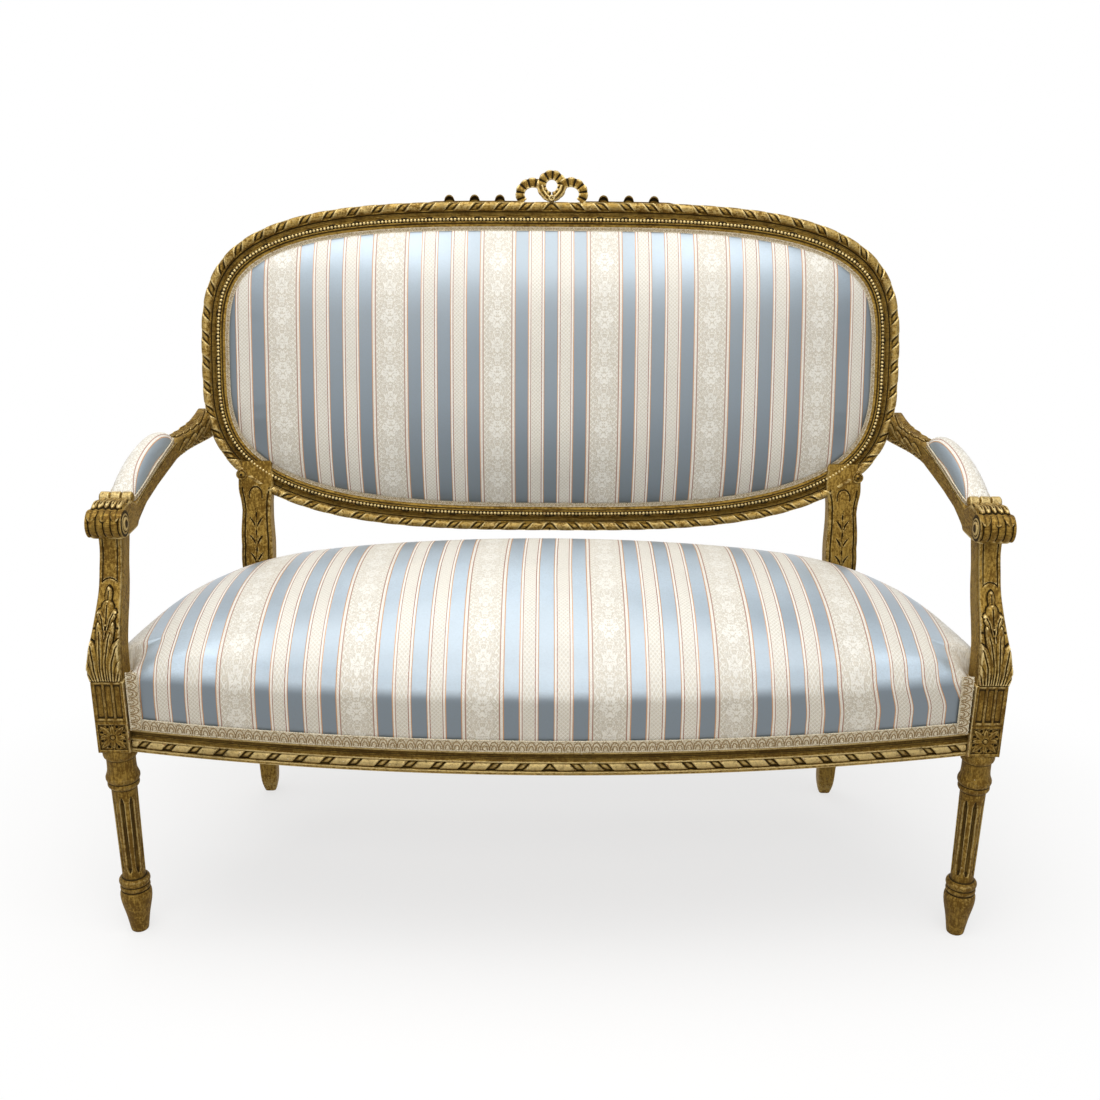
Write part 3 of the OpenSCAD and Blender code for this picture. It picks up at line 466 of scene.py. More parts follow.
def makeGilt(name, dull=0.0, grainAt=(80, 80, 500)):
    # Old water gilding: toned leaf, paler on the high parts from rubbed wear and a painted highlight, dark in
    # the hollows from grime and painted shade, worn to the bole
    b = Board(name)
    hollow = b.attribute("hollow")
    cloudy = b.noise(14.0, 5.0, 0.6)
    streaky = b.noise(1.0, 4.0, 0.6, b.stretched(*grainAt))
    fine = b.noise(900.0, 3.0, 0.7)
    patchy = b.noise(85.0, 6.0, 0.75)
    blotchy = b.noise(260.0, 4.0, 0.7)
    tone = b.steps(cloudy * 0.2 + streaky * 0.25 + patchy * 0.25 + blotchy * 0.3 - dull * 0.02, 0.44, 0.56)
    colour = b.mix(tone, giltLook["toned"], giltLook["leaf"])
    # Painted highlight with rubbed wear: paler gold on the high, rounded parts
    rubbedAndHighlit = b.steps(hollow * -1.0 + (patchy - 0.5) * 0.9 + (blotchy - 0.5) * 0.9, 0.12, 0.7)
    colour = b.mix(rubbedAndHighlit * (0.9 - dull * 0.3), colour, giltLook["rubbedAndHighlight"])
    soot = b.steps(cloudy * 0.35 + patchy * 0.35 + blotchy * 0.3, 0.5, 0.62)
    colour = b.mix(soot * (0.6 + dull * 0.15), colour, giltLook["soot"])
    speckled = b.steps(fine + (patchy - 0.5) * 0.8, 0.58, 0.72)
    colour = b.mix(speckled * (0.5 + dull * 0.15), colour, giltLook["grimeAndShade"])
    # Painted shade with grime: near black in the hollows
    sunkGrimeAndShade = b.steps(hollow + (blotchy - 0.5) * 0.16, 0.03, 0.3)
    colour = b.mix(sunkGrimeAndShade * 0.98, colour, giltLook["grimeAndShade"])
    worn = b.steps(b.noise(130.0, 5.0, 0.7) - hollow * 0.12, 0.69, 0.74)
    colour = b.mix(worn * 0.6, colour, giltLook["bole"])
    chipped = b.steps(b.noise(230.0, 3.0, 0.6) - hollow * 0.1, 0.745, 0.76)
    colour = b.mix(chipped * 0.8, colour, giltLook["gesso"])
    rough = 0.36 + dull * 0.08 + sunkGrimeAndShade * 0.3 + patchy * 0.2 - rubbedAndHighlit * 0.08
    metal = (0.45 - dull * 0.1 + rubbedAndHighlit * 0.15 - sunkGrimeAndShade * 0.45 - worn * 0.3 - chipped * 0.5).clip()
    grain = b.bump(fine * 0.3 + blotchy * 0.5 + patchy * 0.4, giltLook["grain"])
    b.shader.inputs["Specular IOR Level"].default_value = 0.3
    b.shader.inputs["Specular Tint"].default_value = (*giltLook["shine"], 1.0)
    return b.finish(Base_Color=colour, Roughness=rough, Metallic=metal, Normal=grain)


def makeBareWood():
    b = Board("bareBeech")
    grain = b.noise(1.0, 6.0, 0.6, b.stretched(30, 30, 300))
    fleck = b.noise(700.0, 2.0, 0.5)
    colour = b.mix(b.steps(grain, 0.35, 0.68), shade(150, 112, 70), shade(190, 152, 104))
    colour = b.mix(b.steps(fleck, 0.58, 0.7) * 0.5, colour, shade(118, 84, 50))
    return b.finish(Base_Color=colour, Roughness=0.62 + grain * 0.15, Normal=b.bump(grain, 0.0008))


damask = {
    "repeat": 175.0,
    "blue": shade(97, 112, 124),
    # Lighter blue of the painted sheen
    "paintedSheen": shade(186, 205, 221),
    "cream": shade(224, 218, 205),
    "white": shade(240, 237, 229),
    "gold": shade(200, 140, 82),
    "rust": shade(150, 92, 72),
    "figure": shade(247, 246, 240),
    # Outer edge of each band, from the middle of a blue stripe to the middle of the wide cream one
    "bands": [("blue", 10.3), ("gold", 11.5), ("white", 14.3), ("rust", 15.4), ("cream", 32.3),
              ("rust", 33.4), ("white", 36.2), ("gold", 37.4), ("blue", 58.0), ("gold", 59.2),
              ("white", 63.2), ("rust", 64.4), ("cream", 87.5)],
    # Lengths along the cloth after which each figure comes again
    "rise": 88.0,
    "lattice": 5.9,
    "picot": 8.8,
    "cord": 2.6,
    "rib": 0.75,
    "dirt": shade(92, 92, 88),
    "ground": shade(166, 152, 126),
}


def bandAt(index):
    # Middle and half width of one of the bands
    low = damask["bands"][index - 1][1] if index else 0.0
    high = damask["bands"][index][1]
    return (low + high) / 2, (high - low) / 2


def makeDamask():
    b = Board("stripedDamask")
    # The third value of the cloth is a painted sheen: how much lighter the blue silk is drawn where it would
    # catch the light
    across, along, paintedSheen = b.split(b.attribute("cloth", 1))
    half = damask["repeat"] / 2
    turn = (across / damask["repeat"] + 0.5).part() * damask["repeat"] - half
    out = turn.size()
    start, stops = 0.0, []
    for name, edge in damask["bands"]:
        stops.append((start / half, damask[name]))
        start = edge
    colour = b.ramp(out / half, stops, "CONSTANT")
    blueAt, blueHalf = bandAt(8)
    blue = (out.below(damask["bands"][0][1]) + (out - blueAt).size().below(blueHalf)).clip()
    wide = 1 - out.below(damask["bands"][11][1])
    narrowAt, narrowHalf = bandAt(4)
    side = (out - narrowAt).size()
    narrow = side.below(narrowHalf)
    speckle = b.noise(1400.0, 2.0, 0.6)

    # Bouquets among scrolling stems on the wide cream stripe, mirrored about its middle
    q = half - out
    rise = (along / damask["rise"]).part() * damask["rise"]
    strokes = None
    for mid, reach, count in ((20.0, 14.5, 5.0), (46.0, 6.5, 6.0), (68.0, 11.0, 7.0)):
        up = rise - mid
        away = (q * q + up * up) ** 0.5
        bearing = b.add("ShaderNodeMath", {"operation": "ARCTAN2"}, {0: q, 1: up})
        reached = away / (((bearing * count).wave() * 0.2 + 0.8) * reach)
        rays = (((bearing * (count * 2)).wave() - 0.55).below(0.0)
                * reached.below(0.85) * (1 - reached.below(0.42)))
        made = (reached - 0.94).size().below(0.1).most(reached.below(0.24)).most(rays)
        strokes = made if strokes is None else strokes.most(made * (1 - reached.below(0.0)))
    angle = along * (2 * math.pi / damask["rise"])
    wound = b.add("ShaderNodeCombineXYZ", {}, {0: q / 14.0, 1: angle.wave(), 2: (angle + math.pi / 2).wave()})
    tendrils = ((b.noise(2.3, 2.0, 0.5, wound) * 6.0).part() - 0.5).size().below(0.2)
    margin = (q - 19.5 - (along * (2 * math.pi / damask["picot"])).wave() * 1.8).size().below(0.9)
    figure = strokes.most(tendrils * q.below(18.0)).most(margin).clip() * wide
    # Zigzags crossing one another on the narrow cream stripes
    lattice = None
    for way in (-1, 1):
        line = (((side * way + along) / damask["lattice"]).part() - 0.5).size().below(0.13)
        lattice = line if lattice is None else lattice.most(line)
    figured = (figure + lattice * narrow).clip()
    # Twisted cord in the white band beside the wide stripe
    corded = ((out * 0.9 + along) / damask["cord"]).part().below(0.3) * (out - 61.0).size().below(2.1)

    coarse = b.noise(420.0, 2.0, 0.6)
    dusty = b.noise(9.0, 4.0, 0.55)
    weft = b.noise(1.0, 3.0, 0.6, b.add("ShaderNodeMapping", {}, {
        "Vector": b.attribute("cloth", 1), "Scale": (0.12, 1.6, 1.0)}))
    colour = b.mix(blue * paintedSheen, colour, damask["paintedSheen"])
    plain = (1 - blue) * (1 - figured) * (wide + narrow)
    colour = b.mix(plain * (0.12 + wide * 0.16) * (1 - paintedSheen * 0.7) + corded * 0.45, colour, damask["ground"])
    colour = b.mix(figured * (0.5 + speckle * 0.4), colour, damask["figure"])
    shaded = (b.steps(speckle, 0.35, 0.7) * 0.12 + b.steps(coarse, 0.4, 0.65) * 0.1
              + b.steps(weft, 0.35, 0.7) * 0.08 + b.steps(dusty, 0.4, 0.7) * 0.06)
    colour = b.mix(shaded, colour, damask["dirt"])
    ribs = ((along / damask["rib"] * math.pi).wave() * 0.5 + 0.5) * (1 - blue)
    weave = ribs * 0.4 + speckle * 0.6 + coarse * 0.5 + figured * 1.6
    rough = 0.46 - blue * 0.04 + figured * 0.08 + speckle * 0.1
    b.shader.inputs["Coat IOR"].default_value = 1.75
    b.shader.inputs["Coat Roughness"].default_value = 0.4
    return b.finish(Base_Color=colour, Roughness=rough, Metallic=blue * 0.5, Coat_Weight=0.3 + blue * 0.7,
                    Normal=b.bump(weave, 0.00018))


def makeCloth(name, light, dark, scale, rough=0.85, depth=0.0004, flat=False):
    # Plain weave: threads over and under along two directions of the cloth, or of the floor plan
    b = Board(name)
    across, along, _ = b.split(b.stretched(1000, 1000, 1000) if flat else b.attribute("cloth", 1))
    warp = (across * (math.pi / scale)).wave()
    weft = (along * (math.pi / scale)).wave()
    over = (warp * weft * 0.5 + 0.5)
    slub = b.noise(160.0, 4.0, 0.6)
    colour = b.mix(b.steps(over * 0.6 + slub * 0.5, 0.3, 0.85), dark, light)
    return b.finish(Base_Color=colour, Roughness=rough - slub * 0.1, Normal=b.bump(over + slub * 0.5, depth))


def makeBraid():
    b = Board("wovenGimp")
    hollow = b.attribute("hollow")
    strand = b.noise(900.0, 3.0, 0.7)
    knots = b.noise(430.0, 2.0, 0.6)
    colour = b.mix(b.steps(strand * 0.5 + knots * 0.5, 0.4, 0.54), shade(150, 130, 92), shade(232, 224, 202))
    colour = b.mix(b.steps(knots, 0.57, 0.64) * 0.5, colour, shade(112, 88, 50))
    # Painted shade in the hollows of the braid and under its knots
    colour = b.mix(b.steps(hollow, 0.05, 0.4) * 0.7, colour, shade(112, 88, 52))
    return b.finish(Base_Color=colour, Roughness=0.78 + strand * 0.1,
                    Normal=b.bump(strand * 0.5 + knots, 0.0008))


def makeLoops():
    b = Board("gimpLoops")
    strand = b.noise(1100.0, 3.0, 0.6)
    colour = b.mix(b.steps(strand, 0.4, 0.6), shade(108, 84, 48), shade(172, 148, 106))
    return b.finish(Base_Color=colour, Roughness=0.6 + strand * 0.15, Normal=b.bump(strand, 0.0004))


def makeSpringSteel():
    b = Board("springWire")
    spots = b.noise(300.0, 4.0, 0.6)
    colour = b.mix(b.steps(spots, 0.45, 0.7), shade(142, 118, 98), shade(92, 62, 44))
    return b.finish(Base_Color=colour, Metallic=0.9 - spots * 0.3, Roughness=0.35 + spots * 0.3)


gilt = makeGilt("agedGilding")
uprightGilt = makeGilt("uprightGilding", 0.0, (420, 420, 70))
dullGilt = makeGilt("dullGilding", 1.0, (420, 420, 60))
crestGilt = makeGilt("crestGilding", 0.8)
bowGilt = makeGilt("bowGilding", 0.4, (420, 420, 70))
armGilt = makeGilt("armGilding", 0.5)
# A duller, darker copy of the gilding for the seat rails, darkened to paint in the shade on them
shadedRailGilt = makeGilt("shadedRailGilding", 0.8)
bareWood = makeBareWood()
stripes = makeDamask()
gimpCloth = makeBraid()
gimpLoops = makeLoops()
webbingCloth = makeCloth("juteWebbing", shade(186, 152, 104), shade(112, 84, 50), 2.2)
hessianCloth = makeCloth("hessian", shade(176, 146, 100), shade(96, 74, 44), 1.6, flat=True)
springSteel = makeSpringSteel()
print("finishes made")

# Oval frame of the back

back = {
    "a": 574.0,
    "b": 267.4,
    "rise": 284.7,
    "topPower": 3.58,
    "lowPower": 3.02,
    "rake": 11.5,
    "bend": 488.0,
    # Moulding: how far in from the outline, and depth from the face
    "profile": [(0, 19), (0, 1.2), (3, 2), (11, 2), (14.2, 1.6), (14.8, 2.2), (16, 3.4), (18.2, 3.9),
                (20.4, 3.2), (22.4, 1.2), (23.6, -1.4), (24.3, -2.9), (25, -3.5), (31.3, -3.5), (31.7, -4.5),
                (32.7, -4.6), (33.3, -4.1), (33.8, -2.6), (35.2, -2.0), (39.3, -1.2), (39.5, -0.8),
                (39.5, 3), (58, 3), (58, 20), (48, 20.4), (48, 24), (46.5, 25), (5, 25), (1.2, 23)],
    # Painted shade and dirt at places across the moulding: the bead groove, the quirk under the roll and the
    # quirk by the gimp
    "quirks": [(13.8, 0), (14.4, 0.3), (14.9, 0.3), (15.4, 0), (24.4, 0), (25, 0.5), (31.4, 0.5), (32.0, 0.2),
               (33.0, 0.3), (33.6, 0)],
    "rollAt": 7.0,
    "rollR": 7.1,
    "twist": 40.0,  # length of one turn of the ribbon
    "lean": 15.0,  # how far a slit leans along the roll
    "beadAt": 28.4,
    "bead": 5.9,
    "crown": 40.0,
    "padEdge": 46.2,
    "panelEdge": 48.8,
    "corner": 42.0,  # bearing of the corners of the square grids laid over the oval
}
rake = math.radians(back["rake"])


def onBack(points):
    x, d, s = np.moveaxis(np.asarray(points, float), -1, 0)
    return joined(x, seatFrame["rearY"] + s * math.sin(rake) + d * math.cos(rake),
                  back["bend"] + s * math.cos(rake) - d * math.sin(rake))


def ovalIn(t, w):
    # Place at angle t on the oval, w inside its outline, and the way in
    t = np.radians(t)
    c, n = np.cos(t), np.sin(t)
    p = np.where(n >= 0, back["topPower"], back["lowPower"])
    reach = (abs(c) ** p + abs(n) ** p) ** (-1 / p)
    c, n = reach * c, reach * n
    inward = -np.stack([np.sign(c) * abs(c) ** (p - 1) / back["a"],
                        np.sign(n) * abs(n) ** (p - 1) / back["b"]], -1)
    inward = normed(inward)
    return (np.stack([back["a"] * c, back["rise"] + back["b"] * n], -1)
            + np.asarray(w)[..., None] * inward, inward)


halfTurn = np.linspace(90, -90, 1801)


class OvalLine:
    # One half of a line round the oval, from the middle of the top down to the middle of the bottom
    def __init__(self, w):
        spots = ovalIn(halfTurn, np.full(len(halfTurn), w))[0]
        self.run = runAlong(spots)
        self.length = self.run[-1]

    def angle(self, run):
        t = np.interp(abs(run), self.run, halfTurn)
        return np.where(run < 0, 180 - t, t)

    def whole(self, pitch):
        # Signed places all the way round, mirrored about the middle
        count = round(self.length / pitch)
        half = (np.arange(count) + 0.5) * self.length / count
        return np.r_[half, -half[::-1]]


def within(angles, low, high):
    return ((angles - low) % 360) < (high - low)


rollLine, beadLine = OvalLine(back["rollAt"]), OvalLine(back["beadAt"])

twist = {
    "ribbon": 0.63,  # share of a turn that the ribbon covers
    "bevel": 0.035,
    "dome": 0.25,
    "stick": 0.60,  # radius of the stick under the ribbon, as a share of the roll's
    "slits": (0.695, 0.965),
    "slitHalf": 0.042,
    "slitShadeAndDirt": 0.6,
    "stickShadeAndDirt": 0.06,
}


def twistRoll(run, radius, turns, pitch, lean):
    # Radius round a roll that a flat ribbon is wound about, and dirt with painted shade in its slits and on
    # the stick between the turns: run from the mirror line, turn across the roll
    across = np.where(turns > math.pi, 2 * math.pi - turns, turns) / math.pi
    phase = ((run[:, None] - lean * across[None]) / pitch) % 1.0
    end = twist["ribbon"]
    edge = ease(phase, 0.0, twist["bevel"]) * (1 - ease(phase, end, end + twist["bevel"]))
    dome = twist["dome"] * np.sin(np.clip(phase / (end + 0.02), 0, 1) * math.pi)
    stick = twist["stick"] + 0.12 * np.sin(np.clip((phase - end - 0.05) / 0.29, 0, 1) * math.pi)
    slit = sum(np.exp(-((phase - at) / twist["slitHalf"]) ** 2) for at in twist["slits"])
    # Painted shade with dirt in the slits and on the stick
    dirt = twist["slitShadeAndDirt"] * slit + twist["stickShadeAndDirt"] * (phase > end + 0.03)
    return radius * (stick + edge * (1.0 - stick)) + edge * dome, dirt


def ovalLength(name, node, low, high):
    made = Shape()
    runs = np.linspace(-rollLine.length, rollLine.length, 2 * int(rollLine.length) + 1)
    if low > 180:  # the lower length crosses the end of the count
        runs = np.r_[runs[runs > 0], runs[runs < 0]]
    angles = rollLine.angle(runs)
    keep = within(angles, low, high)
    runs, angles = runs[keep], angles[keep]
    coarse = np.unique(np.r_[np.arange(0, len(runs), 7), len(runs) - 1])

    profile = filled(back["profile"], 1.5)
    spots, _ = ovalIn(angles[coarse][:, None], profile[None, :, 0])
    # Painted shade and dirt in the quirks and the bead groove
    sunkGrimeAndShade = np.interp(profile[:, 0], *np.array(back["quirks"]).T) * (profile[:, 1] < 10)
    made.skin(joined(spots[..., 0], profile[:, 1], spots[..., 1]), grimeAndShade=sunkGrimeAndShade)

    turns = around(22)
    # The roll carries painted shade and dirt in its slits
    radius, dirt = twistRoll(abs(runs), back["rollR"], turns, back["twist"], back["lean"])
    w = back["rollAt"] - radius * np.cos(turns)
    spots, _ = ovalIn(angles[:, None], w)
    made.skin(joined(spots[..., 0], 0.4 - radius * np.sin(turns), spots[..., 1]), grimeAndShade=dirt)

    beads = beadLine.angle(beadLine.whole(back["bead"]))
    beads = beads[within(beads, low, high)]
    spots, _ = ovalIn(beads, np.full(len(beads), 28.3))
    outward = np.broadcast_to([[1.0, 0, 0], [0, 0, 1.0], [0, -1.0, 0]], (len(beads), 3, 3))
    made.balls(joined(spots[:, 0], -4.3, spots[:, 1]), (2.6, 2.6, 3.0), outward)

    count = int(rollLine.length / back["twist"])
    tips = (np.arange(count) + 0.98) * back["twist"]
    tips = rollLine.angle(np.r_[tips, -tips])
    tips = tips[within(tips, low, high)]
    spots, inward = ovalIn(tips, np.full(len(tips), 25.2))
    axes = np.stack([joined(-inward[:, 1], 0, inward[:, 0]), joined(inward[:, 0], 0, inward[:, 1]),
                     np.broadcast_to([0, -1.0, 0], (len(tips), 3))], 1)
    made.balls(joined(spots[:, 0], -3.6, spots[:, 1]), (6.6, 1.9, 2.6), axes, 10, 6)
    return made.piece(name, gilt, "giltwood", [node], hollows=3, place=onBack)


for name, node, start in (("crestRail", "back_crest_rail", 45), ("leftLength", "back_side_left", 135),
                          ("lowerRail", "back_lower_rail", 225), ("rightLength", "back_side_right", -45)):
    ovalLength(name, node, start, start + 90)
print("oval frame made")


# Gimp: a woven band with a scrolling cord on it

def layGimp(name, centre, across, outward, width, pitch, node, closed, place=None, thick=1.6, sign=1):
    centre, across, outward = (np.asarray(v, float) for v in (centre, across, outward))
    across, outward = (np.broadcast_to(v, centre.shape) for v in (across, outward))
    band, cord = Shape(), Shape()
    section = [(-1, 0), (-1, 0.55), (-0.86, 0.95), (-0.5, 0.8), (0, 0.9), (0.5, 0.8), (0.86, 0.95),
               (1, 0.55), (1, 0)]
    rings = np.stack([centre + across * (u * width / 2) + outward * (v * thick) for u, v in section], 1)
    band.skin(rings, loop=closed)
    wrap = (lambda v: np.vstack([v, v[:1]])) if closed else (lambda v: v)
    run = runAlong(wrap(centre))
    arches = max(1, round(run[-1] / pitch))
    pitch = run[-1] / arches
    take = lambda v, at: np.stack([np.interp(at, run, wrap(v)[:, i]) for i in range(3)], 1)
    turn = np.linspace(0, math.pi, 9)
    for reach, high in ((0.49, 0.74), (0.27, 0.42)):
        for k in range(arches):
            at = np.clip((k + 0.5 + reach * np.cos(turn)) * pitch, 0.01, run[-1] - 0.01)
            c, a, o = take(centre, at), take(across, at), take(outward, at)
            path = c + a * (sign * width * (-0.36 + high * np.sin(turn)))[:, None] + o * thick
            cord.tube(path, 0.035 * width + 0.15, 5, False, 0.8, o)
    at = (np.arange(arches) + 0.5) * pitch
    c, a, o = take(centre, at), take(across, at), take(outward, at)
    band.balls(c - a * (sign * width * 0.28) + o * thick, (0.09 * width, 0.09 * width, 0.7))
    band.balls(c + a * (sign * width * 0.5) + o * thick * 0.6, (0.07 * width, 0.07 * width, 0.7))
    for side in (-1, 1):
        edge = centre + across * side * (width / 2 - 0.7) + outward * thick * 0.95
        band.tube(edge, 0.6, 5, closed, 0.9, outward)
    band.piece(name, gimpCloth, "gimp", [node] if node else (), crease=0, hollows=3, place=place)
    cord.piece(name + "Loops", gimpLoops, "gimp", crease=0, hollows=0, place=place)


def gimpRound(name, node, w, depth, facing, width, pitch):
    t = OvalLine(w)
    angles = t.angle(t.whole(9.0))
    spots, inward = ovalIn(angles, np.full(len(angles), w))
    layGimp(name, joined(spots[:, 0], depth, spots[:, 1]), joined(inward[:, 0], 0, inward[:, 1]),
            (0, facing, 0), width, pitch, node, True, onBack)


gimpRound("backGimp", "back_gimp", 43.0, -0.9, -1, 6.8, 7.0)
gimpRound("outerGimp", "back_outer_gimp", 53.0, 22.2, 1, 10.0, 9.4)
print("gimp of the back laid")


# Padded covers: an even grid over the top, walls down its edge and a flat underside

def squareGrid(columns, rows):
    # Places on a square grid, with how far out each one lies and where its ray meets the edge
    p, q = np.meshgrid(np.linspace(-1, 1, columns + 1), np.linspace(-1, 1, rows + 1))
    out = np.maximum(abs(p), abs(q))
    safe = np.where(out == 0, 1, out)
    return p / safe, q / safe, out


def edgeRun(p, q):
    # Distance round the square from the middle of its front side, counter-clockwise, from 0 to 8
    return np.where((q <= -1 + 1e-9), p % 8, np.where(p >= 1 - 1e-9, 2 + q, np.where(
        q >= 1 - 1e-9, 4 - p, 6 - q)))


def gridEdge(rows, cols):
    # Places of a grid that lie on its edge, in the order of the run round it
    return ([(0, j) for j in range(cols - 1)] + [(i, cols - 1) for i in range(rows - 1)]
            + [(rows - 1, j) for j in range(cols - 1, 0, -1)] + [(i, 0) for i in range(rows - 1, 0, -1)])


def padMesh(top, walls, under):
    # top and under are grids of places, walls are rings round the edge from the top down
    rows, cols = top.shape[:2]
    edge = gridEdge(rows, cols)
    ids = np.arange(rows * cols).reshape(rows, cols)
    quads = lambda g: np.stack([g[:-1, :-1], g[:-1, 1:], g[1:, 1:], g[1:, :-1]], -1).reshape(-1, 4)
    points = [top.reshape(-1, 3)]
    faces = quads(ids).tolist()
    last = np.array([ids[e] for e in edge])
    count = rows * cols
    for ring in walls:
        fresh = count + np.arange(len(edge))
        faces += np.stack([last, fresh, np.roll(fresh, -1), np.roll(last, -1)], -1).tolist()
        points.append(ring)
        last, count = fresh, count + len(edge)
    low = count + ids
    points.append(under.reshape(-1, 3))
    lowEdge = np.array([low[e] for e in edge])
    faces += np.stack([last, lowEdge, np.roll(lowEdge, -1), np.roll(last, -1)], -1).tolist()
    faces += quads(low)[:, ::-1].tolist()
    return np.vstack(points), faces


tautness = {
    "quality": 6,
    "tension_stiffness": 18,
    "compression_stiffness": 18,
    "shear_stiffness": 8,
    "bending_stiffness": 2.0,
}


def puff(piece, held, cap):
    # Lets the cloth swell over its stuffing, then keeps each point within the cap
    group = piece.vertex_groups.new(name="tacked")
    for level in range(1, 11):
        chosen = np.flatnonzero(np.round(held * 10) == level)
        if len(chosen):
            group.add(chosen.tolist(), level / 10, "REPLACE")
    before = coords(piece.data)
    cloth = piece.modifiers.new("stuffed", "CLOTH")
    cloth.settings.vertex_group_mass = "tacked"
    cloth.settings.use_pressure = True
    cloth.settings.uniform_pressure_force = 4.0
    for key, value in tautness.items():
        setattr(cloth.settings, key, value)
    cloth.settings.effector_weights.gravity = 0
    frames = 14
    cloth.point_cache.frame_end = frames + 1
    scene = bpy.context.scene
    for f in range(1, frames + 1):
        scene.frame_set(f)
    shown = piece.evaluated_get(bpy.context.evaluated_depsgraph_get())
    after = coords(shown.data)
    piece.modifiers.remove(cloth)
    piece.vertex_groups.remove(group)
    scene.frame_set(1)
    moved = after - before
    far = np.linalg.norm(moved, axis=1)[:, None]
    moved *= np.minimum(1, cap / np.maximum(far, 1e-9)) * (1 - held)[:, None]
    piece.data.vertices.foreach_set("co", (before + moved).ravel())
    piece.data.update()
    print(piece.name, "moved", round(float(far.max() * 1000), 1), "mm at most")


def subdivided(piece):
    modifier = piece.modifiers.new("finer", "SUBSURF")
    modifier.levels = modifier.render_levels = 1
    mesh = bpy.data.meshes.new_from_object(piece.evaluated_get(bpy.context.evaluated_depsgraph_get()))
    piece.modifiers.remove(modifier)
    piece.data = mesh
    return mesh


def drawn(x):
    # The cloth is pulled wider towards the ends than in the middle
    return x * (1.018 - 0.024 * (x / back["a"]) ** 2)


def dressPad(name, points, faces, nodes, held, cloth, cap):
    # points in layout millimetres; cloth gives the place on the cloth of each point of the finished mesh
    piece = finishPiece(name, meshOf(name, points, faces), stripes, nodes, crease=0)
    if full:
        puff(piece, held, cap / 1000)
    mesh = subdivided(piece)
    mesh.polygons.foreach_set("use_smooth", np.ones(len(mesh.polygons), bool))
    spots = coords(mesh) * 1000 + [0, seatFrame["midY"], 0]
    layCloth(mesh, cloth(spots))


# Pad of the back

def ovalGrid(columns, rows, w):
    # An even grid of places over the oval, out to w inside its outline, and how far out each one lies
    p, q, out = squareGrid(columns, rows)
    corner = back["corner"]
    bearing = np.interp(edgeRun(p, q), [0, 1, 3, 5, 7, 8],
                        [-90, -corner, corner, 180 - corner, 180 + corner, 270])
    spots, _ = ovalIn(bearing, np.full(bearing.shape, w))
    return out * spots[..., 0], back["rise"] + out * (spots[..., 1] - back["rise"]), out


def upSlope(z):
    return (z - back["bend"]) / math.cos(rake)


def backPad():
    x, s, out = ovalGrid(104, 46, back["padEdge"])
    swell = back["crown"] * (1 - out ** 2.6) ** 0.62
    top = onBack(joined(x, -4.2 - swell, s))
    under = onBack(joined(x, 1.0, s))
    rim = np.array([[x[e], s[e]] for e in gridEdge(*x.shape)])
    walls = [onBack(joined(rim[:, 0], d, rim[:, 1])) for d in (-3.0, -1.0)]
    points, faces = padMesh(top, walls, under)
    held = np.ones(len(points))
    held[:out.size] = 1 - ease(1 - out.ravel(), 0.0, 0.05)

    def cloth(spots):
        rise = upSlope(spots[:, 2])
        # Painted sheen: the blue is drawn lighter over the top of the pad, more so towards its ends
        paintedSheen = (0.12 + 0.3 * ease(abs(spots[:, 0]), 60, 240)) * ease(rise, 370, 480)
        return joined(drawn(spots[:, 0]), rise, paintedSheen)

    dressPad("backPad", points, faces, ["back_cover", "back_stuffing", "back_hessian"], held, cloth, 7.0)


backPad()


def outerPanel():
    # Flat cover on the back of the frame, drawn tight, with a slight hollow
    x, s, out = ovalGrid(60, 28, back["panelEdge"])
    dip = 1.2 * (1 - out ** 2)
    points, faces = padMesh(onBack(joined(x, 22.1 - dip, s)), [], onBack(joined(x, 20.6, s)))
    mesh = meshOf("outerPanel", points, [f[::-1] for f in faces])
    layCloth(mesh, joined(points[:, 0], upSlope(points[:, 2]), 0))
    finishPiece("outerPanel", mesh, stripes, ["back_outer_cover"])


outerPanel()
print("back covered")


# Seat

seat = {
    "edgeZ": 415.0,
    "crown": 115.0,
    "midY": 230.0,
    "backY": 434.5,
    "wrapLow": 345.0,
    "postGap": 2.7,
    "cover": 2.3,
    "frontCorner": 25,  # place in the outline of the corner by the front block
    "underZ": 386.0,
    "tuckZ": 384.0,
    "tuckIn": 2.2,
    "middle": (0, 180.0),
}


def seatOutline(e):
    gap = seat["postGap"] - e
    postX, postY = seatFrame["blockIn"] - gap, seatFrame["blockSize"] + gap
    stileY = seatFrame["setback"] - gap
    stileX = seatFrame["rearX"] - seatFrame["stileWidth"] / 2 - 1 - gap
    rebate = seatFrame["rebate"] - e
    low, high = seat["wrapLow"], railTop + 2
    half = [(x, float(bowY(x, e - seatFrame["rebate"])), low) for x in np.linspace(0, postX - 7, 24)]
    half += [(postX, float(bowY(postX, e - seatFrame["rebate"])) + 1, high), (postX, postY, high),
             (sideX(postY, rebate) - 6, postY, high)]
    half += [(sideX(y, rebate), y, low) for y in np.linspace(postY + 6, stileY - 6, 8)]
    half += [(sideX(stileY, rebate) - 6, stileY, high), (stileX, stileY, high),
             (stileX, seat["backY"] + e - 1, high)]
    half += [(x, seat["backY"] + e, low) for x in np.linspace(stileX - 7, 0, 6)]
    half = np.array(half)
    return np.vstack([half, swap(-1, half[-2:0:-1])])


